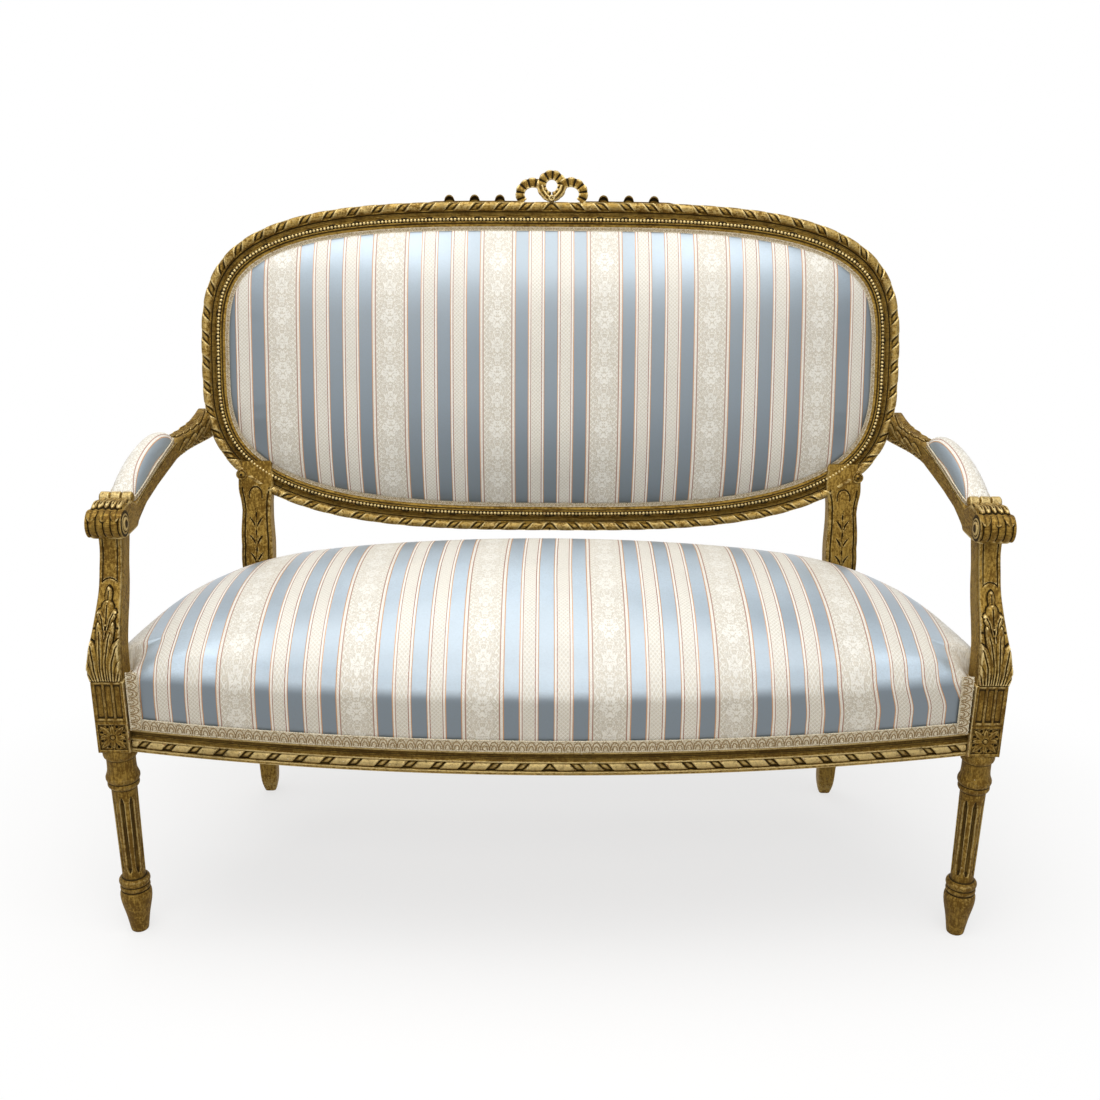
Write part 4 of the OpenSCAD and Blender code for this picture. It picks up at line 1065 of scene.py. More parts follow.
def seatTop(points, t, e):
    # Draws a point of the outline in by t, from the outline's shape to a rounder one
    across = lambda y: sideX(y, seatFrame["rebate"] - e)
    mid, run = seat["midY"], seat["backY"] - seat["midY"]
    x, y = points[..., 0], points[..., 1]
    u = x / across(y)
    v = (y - mid) / np.where(y < mid, mid - bowY(np.clip(x, -620, 620), e - seatFrame["rebate"]), run + e)
    n = 5 - 2.4 * np.minimum(1, t / 0.5)
    whole = (abs(u) ** n + abs(v) ** n) ** (1 / n)
    scale = (1 - t) * (1 + (1 / np.maximum(whole, 1e-6) - 1) * np.minimum(1, t / 0.16))
    u, v = u * scale, v * scale
    side = u * u / (u * u + v * v + 1e-9)
    front = (1 - side) * ease(-v / np.maximum(abs(u) + abs(v), 1e-6), 0.1, 0.6)
    x = u * across(mid + v * run)
    swell = (seat["crown"] * (1 - (1 - t) ** (2.4 - 1.2 * side + 0.3 * front))
             ** (0.55 - 0.3 * side + 0.2 * front))
    return x, mid + v * np.where(v < 0, mid - bowY(x, e - seatFrame["rebate"]), run + e), swell


def evened(x, y, height, reach):
    # Height at each place of the plane that fits best round it
    flat = np.stack([np.ones(x.size), x.ravel(), y.ravel()], 1)
    known = flat.reshape(*x.shape, 3)[::2, ::2].reshape(-1, 3)
    pairs = (known[:, :, None] * known[:, None, :]).reshape(-1, 9)
    heights = known * height[::2, ::2].reshape(-1, 1)
    made, batch = [], 400
    for i in range(0, len(flat), batch):
        here = flat[i:i + batch]
        gap = ((here[:, None, 1:] - known[None, :, 1:]) ** 2).sum(-1)
        share = np.exp(-gap / (2 * reach ** 2))
        plane = np.linalg.solve((share @ pairs).reshape(-1, 3, 3), (share @ heights)[..., None])
        made.append((plane[..., 0] * here).sum(-1))
    return np.concatenate(made).reshape(height.shape)


def seatPad():
    e = seat["cover"]
    outline = seatOutline(e)
    closed = np.vstack([outline, outline[:1]])
    half = len(outline) / 2
    # Corner points of the outline fall on the corners of the square grid
    nearStile = abs(outline[:, 1] - (seatFrame["setback"] - seat["postGap"] + e)) < 1e-6
    front, rear = seat["frontCorner"], np.flatnonzero((outline[:, 0] > 0) & nearStile)[1]
    mark = np.r_[0, front, rear, half, 2 * half - rear, 2 * half - front, 2 * half]
    run = runAlong(closed[:, :2])
    runMark = np.interp(mark, np.arange(len(closed)), run)
    p, q, out = squareGrid(132, 56)
    at = np.interp(edgeRun(p, q), [0, 1, 3, 4, 5, 7, 8], runMark)
    spots = np.stack([np.interp(at, run, closed[:, i]) for i in range(3)], -1)
    t = 1 - out
    x, y, swell = seatTop(spots, t, e)
    # Rounds off the ridge where the front of the crown meets its sides
    swell = swell + ease(t, 0.02, 0.14) * (evened(x, y, swell, 26.0) - swell)
    top = joined(x, y, seat["edgeZ"] + e + swell)
    under = joined(x, y, seat["underZ"] + 30 * ease(t, 0.12, 0.3))
    rim = np.array([spots[c] for c in gridEdge(*x.shape)])
    walls = []
    for u, bulge in ((0.9, 0.4), (0.75, 1.0), (0.55, 1.2), (0.35, 0.8), (0.15, 0.2), (0.0, 0.0)):
        ring = rim.copy()
        ring[:, 1] -= bulge * (rim[:, 1] < 0)
        ring[:, 2] = rim[:, 2] + (seat["edgeZ"] + e - rim[:, 2]) * u
        walls.append(ring)
    inner = rim.copy()
    inner[:, :2] += normed(seat["middle"] - inner[:, :2]) * seat["tuckIn"]
    walls += [inner, joined(inner[:, 0], inner[:, 1], seat["tuckZ"])]
    points, faces = padMesh(top, walls, under)
    size = out.size
    held = np.ones(len(points))
    nearPost = np.minimum.reduce([np.hypot(abs(x) - 590, (y - 22) * 0.7), np.hypot(abs(x) - 470, y - 415)])
    free = ease(t, 0.0, 0.05) * ease(nearPost, 20, 150)
    held[:size] = 1 - free.ravel()
    for k in range(4):
        held[size + k * len(rim): size + (k + 1) * len(rim)] = 0.75 + 0.08 * k
    held = np.round(held, 2)

    def cloth(spots):
        side = ease(abs(spots[:, 0]) - (sideX(spots[:, 1]) - 34), 0, 26) * ease(spots[:, 1], 30, 60)
        drop = np.maximum(0, seat["edgeZ"] + 45 - spots[:, 2]) * side
        front = np.maximum(0, seat["edgeZ"] - spots[:, 2]) * (1 - side)
        near = 1 - ease(spots[:, 1], 100, 400)
        over = ease(spots[:, 2], 380, 430)
        end = (spots[:, 0] / 525) ** 3
        pull = (11.5 + 7.5 * over) * end - 6 * (1 - over) * abs(end)
        inward = spots[:, 1] - bowY(np.clip(spots[:, 0], -620, 620))
        # Painted sheen: the blue is drawn lighter over the top of the seat, by a share that changes from
        # front to back and towards the ends
        middle = (0.46 - 0.19 * ease(inward, 0, 40) + 0.7 * ease(inward, 75, 195)
                  - 0.34 * ease(inward, 240, 370))
        ends = 0.85 - 0.5 * ease(inward, 20, 170)
        paintedSheen = ease(spots[:, 2], 416, 428) * (middle + (ends - middle) * ease(abs(spots[:, 0]), 330, 520))
        across = drawn(spots[:, 0]) + 5.5 * near + pull + np.sign(spots[:, 0]) * drop
        return joined(across, spots[:, 1] - front, paintedSheen)

    dressPad("seatPad", points, faces, ["seat_cover", "seat_stuffing"], held, cloth, 5.0)


seatPad()
print("seat covered")

# Carving: relief over the faces of a squared post

def leaflets(a, z, spines):
    # Height of carved leaves over a panel; a spine is (points, half width, rise)
    height, shadow = np.zeros(a.shape), np.zeros(a.shape)
    for points, half, rise in spines:
        spine = evenly(points, 90)
        gap = np.stack([(a - p[0]) ** 2 + (z - p[1]) ** 2 for p in spine], -1)
        dist, t = np.sqrt(gap.min(-1)), gap.argmin(-1) / 89
        wide = half * (0.4 + 0.6 * ease(t, 0, 0.65)) * np.sqrt(np.clip(1 - t ** 5, 0, 1)) + 0.05
        leaf = rise * np.sqrt(np.clip(1 - (dist / wide) ** 2, 0, 1)) * (0.55 + 0.45 * ease(t, 0.1, 0.8))
        leaf -= 0.5 * rise * np.exp(-(dist / 0.6) ** 2) * (leaf > 0) * (t < 0.85)
        height = np.maximum(height, leaf)
        shadow = np.maximum(shadow, np.exp(-((dist - wide) / 1.3) ** 2) * (dist > wide))
    return height - 1.5 * shadow * (height <= 0)


def mirrored(spines):
    # The same spines on both sides of the middle line
    return [([(side * a, z) for a, z in points], half, rise)
            for side in (-1, 1) for points, half, rise in spines]


def groove(distance, half, depth):
    return -depth * np.sqrt(np.clip(1 - (distance / half) ** 2, 0, 1))


def carvedPost(zs, sides, corner, columns, relief):
    # sides: inner x, outer x, front y and back y at each height; columns: points on front, outer, back, inner
    zs = np.asarray(zs, float)
    x0, x1, y0, y1 = (np.broadcast_to(np.asarray(s, float), len(zs)) for s in sides)
    corner = np.broadcast_to(corner, len(zs))[:, None]
    names = ("front", "outer", "back", "inner")
    starts = ((x0, y0), (x1, y0), (x1, y1), (x0, y1))
    ways = ((1, 0), (0, 1), (-1, 0), (0, -1))
    outs = ((0, -1), (1, 0), (0, 1), (-1, 0))
    lengths = (x1 - x0, y1 - y0, x1 - x0, y1 - y0)
    parts = []
    for name, start, way, out, long, count in zip(names, starts, ways, outs, lengths, columns):
        trim = 0.293 * corner  # where a round corner turns half way, as a share of its radius
        long = long[:, None]
        a = trim + (long - 2 * trim) * np.arange(count)[None] / count
        edge = np.minimum(a, long - a)
        off = np.sqrt(np.clip(corner ** 2 - np.clip(corner - edge, 0, None) ** 2, 0, None)) - corner
        carved = relief(name, a, long, np.broadcast_to(zs[:, None], a.shape))
        if carved is not None:
            off = off + carved * ease(edge, 0.2, 1.4)
        px, py = (start[i][:, None] + way[i] * a + out[i] * off for i in (0, 1))
        parts.append(joined(px, py, zs[:, None]))
    return np.concatenate(parts, 1)


# Front legs with their blocks

frontLeg = {
    "flutes": 8,
    "fluteLow": 103.0,
    "fluteHigh": 230.0,
    "fluteHalf": 3.4,
    "fluteDepth": 3.2,
    "squareHigh": 49.0,
    "profile": [(0, 11.6), (0.8, 12.5), (3, 13.1), (15, 14.9), (25, 16.5), (35, 18.5), (42, 20.1),
                (50, 21.7), (56, 22.5), (62, 22.8), (66, 22.5), (69, 21.5), (70.4, 20.4), (71.4, 20.0),
                (72.4, 20.4), (73.4, 21.4), (75.5, 21.8), (77.5, 21.4), (78.8, 20.6), (79.8, 20.2),
                (80.8, 20.8), (82.5, 21.8), (85.5, 22.5), (88.5, 22.1), (90.6, 20.6), (91.8, 18.6),
                (93, 17.2), (95, 16.6), (238, 18.2), (240.4, 18.5), (241.6, 19.8), (242.8, 21.2),
                (245, 22.3), (247.5, 22.5), (249.6, 22.0), (250.6, 21.4), (251.6, 21.6), (253, 23.0),
                (256, 24.0), (259, 24.0), (262.5, 22.8), (266, 21.4), (270, 20.7), (276, 20.4), (286, 20.4),
                (288.4, 20.7), (289.6, 21.8), (291, 23.2), (294, 24.2), (298, 24.4), (301.5, 23.8),
                (304, 22.4), (306, 20.5)],
}


def legSkin(centre):
    zs = np.arange(0, 306.1, 1.0)
    radius = np.interp(zs, *np.array(frontLeg["profile"]).T)
    turn = around(128)
    step = 2 * math.pi / frontLeg["flutes"]
    bearing = (turn + math.pi / 2 + step / 2) % step - step / 2
    z = zs[:, None]
    low, high = frontLeg["fluteLow"], frontLeg["fluteHigh"]
    narrowing = np.clip(np.minimum((z - low) / 7, (high - z) / 12), 0, 1)
    half = frontLeg["fluteHalf"] * np.sqrt(narrowing) + 1e-3
    cut = groove(radius[:, None] * bearing[None], half, frontLeg["fluteDepth"] * np.sqrt(narrowing))
    r = radius[:, None] + cut
    return joined(centre[0] + r * np.cos(turn), centre[1] + r * np.sin(turn), z)


def blockRelief(face, a, wide, z):
    if face in ("back", "inner"):
        return None
    u, v = a - wide / 2, z - seatFrame["railBottom"] - frontLeg["squareHigh"] / 2
    rho, bearing = np.hypot(u, v), np.arctan2(v, u)
    step = math.pi / 4
    turned = (bearing + step / 2) // step
    fold = (bearing + step / 2) % step - step / 2
    long = np.where(turned % 2 == 0, 17.5, 23.0)
    along, off = rho * np.cos(fold), abs(rho * np.sin(fold))
    leaf = 3.7 * np.sin(np.clip((along - 1.0) / (long - 1.0), 0, 1) * math.pi) ** 0.7 + 1e-3
    petal = np.clip(1 - (off / leaf) ** 2, 0, 1)
    carved = np.where(off < leaf, -0.9 + 1.3 * np.sqrt(petal) - 0.8 * np.exp(-(off / 0.6) ** 2), -1.2)
    gap = (bearing % step) - step / 2
    hole = np.hypot((rho - 16.6) * 0.8, rho * gap * (1.0 + (16.6 - rho) * 0.16))
    carved = np.minimum(carved, -3.0 * ease(2.5 - hole, 0, 0.9))
    carved = np.where(rho < 4.2, -1.2 + 2.3 * np.sqrt(np.clip(1 - (rho / 3.7) ** 2, 0, 1)), carved)
    square = np.maximum(abs(u), abs(v))
    carved = np.where(square < 19.4, carved, 0)
    frame = -0.9 * np.exp(-((abs(v) - 24.3) / 0.6) ** 2)
    low, high = seatFrame["railBottom"] + 53, seatFrame["railBottom"] + 106
    flutes = np.zeros(a.shape)
    for i in (-1, 0, 1):
        cut = ease(wide / 8.2 - abs(u - i * wide / 3.6), 0, 1.6) * ease(np.minimum(z - low, high - z), 0, 1.2)
        flutes -= 1.7 * cut
    return 1.25 * carved * (abs(v) < 24.4) + frame + flutes


def frontLegPiece(name, node, sign):
    made = Shape()
    made.skin(swap(sign, legSkin((seatFrame["legX"], seatFrame["blockSize"] / 2))))
    low = seatFrame["railBottom"]
    zs = np.unique(np.round(np.r_[low, low + 0.5, np.arange(low + 1, low + 51, 0.85),
                                  np.arange(low + 51, low + 108, 1.6), blockTop - 0.6, blockTop], 3))
    size = seatFrame["blockSize"]
    pull = 0.6 * (1 - ease(zs - low, 0, 0.8)) + 0.6 * ease(zs, blockTop - 0.7, blockTop)
    sides = (seatFrame["blockIn"] + pull, seatFrame["blockIn"] + size - pull, pull, size - pull)
    made.skin(swap(sign, carvedPost(zs, sides, 1.2, (60, 60, 8, 8), blockRelief)))
    return made.piece(name, dullGilt, "giltwood", [node], crease=50)


frontLegPiece("frontLegLeft", "front_leg_left", -1)
frontLegPiece("frontLegRight", "front_leg_right", 1)
print("front legs turned")


# Rear legs, with lines and leaf strokes cut into the stiles

rearLeg = {
    "stileTop": 618.0,
    # Height, then the middle across and back, the width and the depth there
    "stations": [(0, 505, 454, 20, 20), (10, 505, 453, 25, 25), (60, 503.5, 444.8, 32, 31),
                 (150, 498.3, 430.9, 37, 36), (304, 490, 421, 40, 40), (378, 490, 421, 40, 40),
                 (424, 490, 422.5, 48, 38), (474, 490, 428, 53, 34),
                 (528, 490, 438.1, 49, 31), (554, 490, 443.4, 51, 30), (572, 490, 447.1, 58, 31),
                 (618, 490, 456.4, 56, 30)],
    "shoeZ": 562,
    "voluteZ": 596.0,
    "volute": [(9.0, 0.0), (9.0, 4.2), (8.4, 5.2), (6.6, 4.6), (6.0, 3.4), (5.4, 4.8), (3.6, 5.4), (3.0, 6.4),
               (0.4, 6.8)],
}


def stileRelief(face, a, wide, z):
    if face != "front":
        return None
    u = a - wide / 2
    # Lines along the edges, a horseshoe under the oval, and a stem with pairs of leaf strokes
    inside = wide / 2 - 6.5
    edge = groove(abs(u) - inside, 1.3, 2.2) * ease(z, 400, 412) * (1 - ease(z, 572, 576))
    step = -1.3 * ease(u, inside + 2.2, inside + 3.0) * ease(z, 400, 412)
    bend = rearLeg["shoeZ"]
    shoe = (groove(np.hypot(u, (z - bend) * 0.8) - 10.5, 1.0, 1.7) * (z > bend)
            + groove(abs(u) - 10.5, 1.0, 1.7) * (z < bend) * (z > bend - 6))
    stem = groove(u + 0.6 * np.sin(z / 11), 0.55, 0.9) * ease(z, 440, 446) * (1 - ease(z, 536, 546))
    strokes = np.zeros(a.shape)
    for base in (452, 481, 510):
        t = np.clip((z - base) / 15, 0, 1)
        off = abs(abs(u) - 2.0 - 8.5 * t ** 1.5)
        half = 1.6 * np.sin(math.pi * np.clip(t, 0.08, 0.92)) + 0.05
        strokes = np.minimum(strokes, groove(off, half, 2.6) * (t > 0) * (t < 1))
        slit = np.clip((z - base - 15) / 9, 0, 1)
        half = 1.4 * np.sin(math.pi * slit) + 0.05
        strokes = np.minimum(strokes, groove(abs(u), half, 2.4) * (slit > 0) * (slit < 1))
    return np.minimum(np.minimum(edge, shoe), np.minimum(stem, strokes)) + step


def rearLegPiece(name, node, sign):
    table = np.array(rearLeg["stations"], float)
    zs = np.r_[0, 0.7, np.arange(3, 396, 7.0), np.arange(396, rearLeg["stileTop"] + 0.1, 1.1)]
    x, y, w, d = (curve(zs, table[:, [0, i]]) for i in (1, 2, 3, 4))
    pull = 0.7 * (1 - ease(zs, 0, 0.8))
    scallop = 1.6 * abs(np.sin((zs - 420) * math.pi / 58)) * ease(zs, 420, 440) * (1 - ease(zs, 560, 590))
    corner = np.interp(zs, [0, 20, 370, 420], [4.5, 5, 3.0, 3.2])
    made = Shape()
    sides = (x - w / 2 + pull, x + w / 2 - pull - 1.6 + scallop, y - d / 2 + pull, y + d / 2 - pull)
    made.skin(swap(sign, carvedPost(zs, sides, corner, (60, 16, 12, 16), stileRelief)))
    # Volute at the top outer corner
    turn = around(30)
    radius, lift = np.array(rearLeg["volute"]).T[:, :, None]
    x, y, w, d = (float(curve(rearLeg["voluteZ"] - 4, table[:, [0, i]])) for i in (1, 2, 3, 4))
    rings = joined(x + w / 2 - 8 + radius * np.cos(turn), y - d / 2 + 1.0 - lift,
                   rearLeg["voluteZ"] + radius * np.sin(turn))
    made.skin(swap(sign, rings))
    return made.piece(name, uprightGilt, "giltwood", [node], crease=50, rubAndHighlightCap=0.25)


rearLegPiece("rearLegLeft", "rear_leg_left", -1)
rearLegPiece("rearLegRight", "rear_leg_right", 1)
print("rear legs shaped")


# Seat rails: cove above, ribbon twist below

rail = {
    "profile": [(32, 0), (1, 0), (0.3, 0.6), (0.3, 4.4), (1.4, 5.2), (5.2, 5.6), (5.2, 18), (1.2, 18.4),
                (0.9, 19.6), (1.9, 20.4), (3.4, 21.4), (4.8, 23.2), (5.6, 25.6), (5.2, 28.2), (3.8, 30.4),
                (2.0, 31.8), (1.0, 32.4), (0.6, 33.2), (0.6, 34.4), (1.2, 35), (4.5, 35), (4.5, 74),
                (32, 74)],
    "twistR": 6.5,
    "twistAt": (6.6, 11.7),
    "twistPitch": 38.5,
    "lean": 13.0,
}


def railPiece(name, node, sweep, runs, fine, sign=1):
    # sweep gives x and y of a line at each run, w inside the face
    made = Shape()
    profile = filled(rail["profile"], 1.4)
    x, y = sweep(runs[:, None], profile[None, :, 0])
    made.skin(swap(sign, joined(x, y, seatFrame["railBottom"] + profile[:, 1])))
    turns = around(20)
    # The twist carries painted shade and dirt in its slits
    radius, dirt = twistRoll(abs(fine), rail["twistR"], turns, rail["twistPitch"], rail["lean"])
    at = rail["twistAt"]
    x, y = sweep(fine[:, None], at[0] - radius * np.sin(turns))
    z = seatFrame["railBottom"] + at[1] + radius * np.cos(turns)
    made.skin(swap(sign, joined(x, y, z)), grimeAndShade=dirt)
    return made.piece(name, shadedRailGilt, "giltwood", [node])


def bowSweep(run, w):
    angle = run / bowR
    return (bowR - w) * np.sin(angle), bowMidY - (bowR - w) * np.cos(angle)


def sideSweep(run, w):
    x0, y0 = sideX(seatFrame["blockSize"]), seatFrame["blockSize"]
    s, c = math.sin(sideLean), math.cos(sideLean)
    return x0 - run * s - w * c, y0 + run * c - w * s


halfBow = bowR * math.asin((seatFrame["blockIn"] + 5) / bowR)
railPiece("frontRail", "front_rail", bowSweep, np.linspace(-halfBow, halfBow, 90),
          np.arange(-594, 594.1, 1.0))
sideLong = (seatFrame["setback"] - seatFrame["blockSize"]) / math.cos(sideLean)
for name, node, sign in (("sideRailLeft", "side_rail_left", -1), ("sideRailRight", "side_rail_right", 1)):
    railPiece(name, node, sideSweep, np.linspace(-6, sideLong + 6, 4), np.arange(-3, sideLong + 4, 1.0), sign)
print("rails moulded")


# Arm supports, with an acanthus leaf up the front

armHeight = 606.0
armSupport = {
    # Height, then inner and outer side from the middle of the leg, front and rear
    "stations": [(413, -20.5, 24.5, 1, 45), (431, -20.5, 27, 2, 45), (458, -20.5, 23, 6, 49),
                 (486, -20.5, 17, 14, 60), (511, -20.5, 13, 25, 72), (535, -20.5, 10.5, 37, 81),
                 (563, -20.5, 10, 48, 88), (590, -20.5, 10, 57, 98), (606, -20.5, 11, 60, 104)],
    # Reeds rise from a narrow foot, lobes spread over at the sides, and a bud closes the top
    "reeds": [([(2.6, 414), (2.8, 446), (4.6, 474), (8.5, 497)], 5.2, 5.4),
              ([(7.6, 414), (8.8, 442), (13.0, 464), (19.0, 475)], 6.6, 6.2),
              ([(12.6, 414), (15.5, 430), (20, 443), (24.5, 445)], 6.4, 5.6),
              ([(2.4, 484), (5.0, 500), (9.0, 509), (12.0, 508)], 5.0, 5.0)],
    "bud": [([(0, 414), (0, 450), (0, 486)], 1.8, 5.4), ([(0, 494), (0, 508), (0, 524)], 8.4, 5.8),
            ([(0, 512), (0, 528), (0, 541)], 5.0, 5.0)],
    "pits": ((23, 424), (21, 459), (13.0, 487), (7.5, 516)),
    "pitDepth": 2.6,
    "archZ": 546.0,
}


def supportRelief(face, a, wide, z):
    if face == "front":
        # The leaf keeps to the middle of the face, which widens below
        u = (a - wide / 2) * 30.0 / np.maximum(wide, 30) * np.interp(z, [413, 500], [1.12, 1.0])
        leaf = leaflets(u, z, mirrored(armSupport["reeds"]) + armSupport["bud"]) * ease(z, 413.5, 415)
        pits = sum(np.exp(-((abs(u) - x) / 1.5) ** 2 - ((z - h) / 2.2) ** 2) for x, h in armSupport["pits"])
        leaf = leaf - armSupport["pitDepth"] * pits
        middle, low = abs(a - wide / 2), armSupport["archZ"]
        line = groove(middle - (wide / 2 - 5.4), 0.95, 2.0) * ease(z, low - 1.5, low)
        arch = (groove(z - low - 5.0 * (1 - (middle / (wide / 2 - 5.0)) ** 2), 1.0, 2.0)
                * (middle < wide / 2 - 4.6))
        foot = -1.6 * np.exp(-((z - 414) / 0.7) ** 2)
        return leaf + np.minimum(line, arch) + foot
    if face in ("outer", "inner"):
        front = a if face == "outer" else wide - a
        return groove(front - 6.5, 1.1, 0.9) + groove(front - 10.0, 0.8, 0.6)
    return None


def supportPiece(name, node, sign):
    table = np.array(armSupport["stations"], float)
    zs = np.unique(np.r_[413.0, 413.6, np.arange(414.2, 607, 0.95), 607.0])
    inner, outer, front, rear = (curve(zs, table[:, [0, i]]) for i in (1, 2, 3, 4))
    x = seatFrame["legX"]
    made = Shape()
    sides = (x + inner, x + outer, front, rear)
    made.skin(swap(sign, carvedPost(zs, sides, 2.6, (52, 30, 10, 30), supportRelief)))
    return made.piece(name, uprightGilt, "giltwood", [node], crease=55)


supportPiece("armSupportLeft", "arm_support_left", -1)
supportPiece("armSupportRight", "arm_support_right", 1)
print("arm supports carved")


# Arms

arm = {
    "top": [(40, 42), (60, 47), (86, 46), (104, 36), (110, 36), (150, 47), (200, 61), (250, 72), (292, 79),
            (320, 80), (365, 79), (415, 82), (455, 87), (480, 91)],
    "low": [(40, 3), (60, 0), (104, 0), (110, 5), (150, 21), (200, 33), (250, 43), (292, 50), (320, 51),
            (365, 51), (415, 49), (455, 46), (480, 44)],
    "mid": [(40, -9), (110, -10), (200, -15), (292, -24), (365, -31.5), (415, -37), (455, -38.5),
            (480, -38.5)],
    "width": [(40, 46), (86, 46), (110, 44), (200, 41), (250, 38), (292, 33), (320, 29), (365, 27),
              (480, 27)],
    "scrollR": 20.0,
    "scrollY": 45.0,
    "scrollWidth": 50.0,
    # Face of the scroll: how far each ring stands out, and its radius
    "scrollFace": [(0, 14.0), (0.5, 14.0), (0.9, 13.4), (0.9, 11.6), (0.2, 11.0), (0.2, 9.9), (1.6, 9.2),
                   (2.2, 6.0), (2.5, 0.4)],
    "barY": 93.0,
    # Spines of the leaves, along the arm: over the rear of the top and down the slope to the scroll
    "rearLeaves": [([(0, 470), (4, 430), (9, 400)], 3.6, 2.4), ([(0, 440), (4, 404), (9, 372)], 3.4, 2.4),
                   ([(0, 408), (4, 374), (8, 344)], 3.2, 2.2), ([(0, 378), (3.5, 346), (7, 318)], 3.0, 2.2)],
    "rearMiddle": [([(0, 400), (0, 340), (0, 306)], 3.4, 2.6)],
    "slopeLeaves": [([(6.5, 88), (7.5, 70), (9, 46)], 5.4, 4.2), ([(15, 90), (16, 70), (17, 44)], 5.6, 4.4)],
    "slopeMiddle": [([(0, 90), (0, 70), (0, 46)], 4.2, 4.6)],
    "lobes": (300, 336, 372, 408),
}


def armTop(y):
    return armHeight + np.interp(y, *np.array(arm["top"]).T)


def armMid(y):
    return seatFrame["legX"] + curve(y, arm["mid"])


def armWide(y):
    return curve(y, arm["width"])


def armRelief(face, a, wide, y):
    u = a - wide / 2
    if face == "back":  # the top of the arm
        rear = leaflets(u, y, mirrored(arm["rearLeaves"]) + arm["rearMiddle"])
        rear = rear * ease(y, 298, 306) * (1 - ease(y, 462, 472))
        return rear + leaflets(u, y, mirrored(arm["slopeLeaves"]) + arm["slopeMiddle"]) * (y < 90)
    if face in ("outer", "inner"):
        high = a if face == "inner" else wide - a
        line = groove(high - 4.6, 1.0, 1.1) * ease(y, 110, 120) * (1 - ease(y, 296, 300))
        lobes = []
        for near in arm["lobes"]:
            lobes += [([(21, near), (17, near + 24), (9, near + 44)], 6.5, 2.6),
                      ([(24, near + 6), (27, near + 24), (33, near + 36)], 4.6, 2.2)]
        line = line + leaflets(high, y, lobes) * ease(y, 298, 306) * (1 - ease(y, 446, 456))
        notch = (groove((y % 27) - 13.5 + (wide - high - 4) * 1.2, 3.0, 2.8)
                 * ease(y, 300, 312) * (wide - high < 7))
        return line + notch
    return None


def armPiece(name, node, sign):
    made = Shape()
    ys = np.arange(40, 481, 1.4)
    mid, half = armMid(ys), armWide(ys) / 2
    low = armHeight + np.interp(ys, *np.array(arm["low"]).T)
    # The post builder stands up, so the arm is built along z and laid down
    post = carvedPost(ys, (mid - half, mid + half, low, armTop(ys)), 4.5, (14, 26, 46, 26), armRelief)
    made.skin(swap(sign, post[..., [0, 2, 1]]))

    # Reeded scroll
    x = np.linspace(-1, 1, 101)
    width = arm["scrollWidth"] / 2
    reed = abs(np.sin(x * math.pi * 2.5)) ** 0.6
    radius = arm["scrollR"] - 4.0 + 3.4 * reed
    radius *= np.sqrt(np.clip(1 - np.clip((abs(x) - 0.95) / 0.06, 0, 1) ** 2 * 0.5, 0, 1))
    turn = around(96)
    # Three lobes of the leaf lie over the reeds, from the slope to the front of the scroll
    lobe = ((x[:, None] * 0.5 + 0.5) * 3 % 1) * 2 - 1
    arched = np.sqrt(np.clip(1 - lobe ** 2, 0, 1))
    stop = np.radians(100 + 62 * arched)
    over = ease(stop - turn, 0, 0.14) * (turn > 0.4)
    leaf = arm["scrollR"] - 4.5 + over * (2.2 + 2.6 * arched ** 0.8 - 1.5 * np.exp(-(lobe / 0.16) ** 2))
    # Painted shade and dirt at the edges of the leaf lobes and between them, and in the grooves between the
    # reeds
    leafShadeAndDirt = 0.5 * np.exp(-((stop - turn - 0.02) / 0.06) ** 2) + 0.3 * (arched < 0.35)
    reedShadeAndDirt = 0.45 * (1 - ease(reed, 0.2, 0.6))[:, None]
    dirt = np.where(leaf > radius[:, None], leafShadeAndDirt, reedShadeAndDirt) + 0.1
    radius = np.maximum(radius[:, None], leaf)
    centre = (armMid(40), arm["scrollY"], armHeight + 3 + arm["scrollR"])
    rings = joined((centre[0] + x * width)[:, None], centre[1] + radius * np.cos(turn),
                   centre[2] + radius * np.sin(turn))
    made.skin(swap(sign, rings), grimeAndShade=dirt)
    turn = around(40)
    out, radius = np.array(arm["scrollFace"]).T[:, :, None]
    for side in (-1, 1):
        lathe = joined(centre[0] + side * (width + out - 0.4), centre[1] + radius * np.cos(turn),
                       centre[2] + radius * np.sin(turn))
        made.skin(swap(sign, lathe))

    # Bar of turned beads across the arm, in front of the pad
    barX = np.linspace(-23, 23, 90)
    bulge = 8.4 - 2.6 * np.exp(-((15.3 * (0.5 - abs((barX + 23) / 15.34 % 1 - 0.5))) / 1.3) ** 2)
    turn = around(24)
    barZ = armTop(arm["barY"]) + 4.4
    rings = joined((armMid(arm["barY"]) + barX)[:, None], arm["barY"] + bulge[:, None] * np.cos(turn),
                   barZ + bulge[:, None] * np.sin(turn))
    made.skin(swap(sign, rings))
    return made.piece(name, armGilt, "giltwood", [node], crease=55)


armPiece("armLeft", "arm_left", -1)
armPiece("armRight", "arm_right", 1)
print("arms carved")


# Crest: a bow of pleated ribbon with rippled tails

crest = {
    "s": back["rise"] + back["b"] + 0.15,
    "ribbon": 14.5,
    "pleats": 11.5,
    "ends": [(19.5, 25.0), (16.0, 16.0), (10.0, 8.8), (3.0, 3.5)],
    "endSection": [(-1, 1.5), (-1, -0.6), (-0.75, -1.8), (-0.2, -1.3), (0.2, -1.3), (0.75, -1.8), (1, -0.6),
                   (1, 1.5)],
    # Knot: radius and depth of its rings
    "knot": [(5.9, 6.0), (5.9, 0.0), (5.8, -5.4), (5.2, -8.2), (4.2, -9.0), (3.0, -8.8), (2.2, -7.4),
             (1.9, -5.4), (0.3, -5.0)],
    "ripples": (84, 125, 166),
    "tailBack": 13,
}


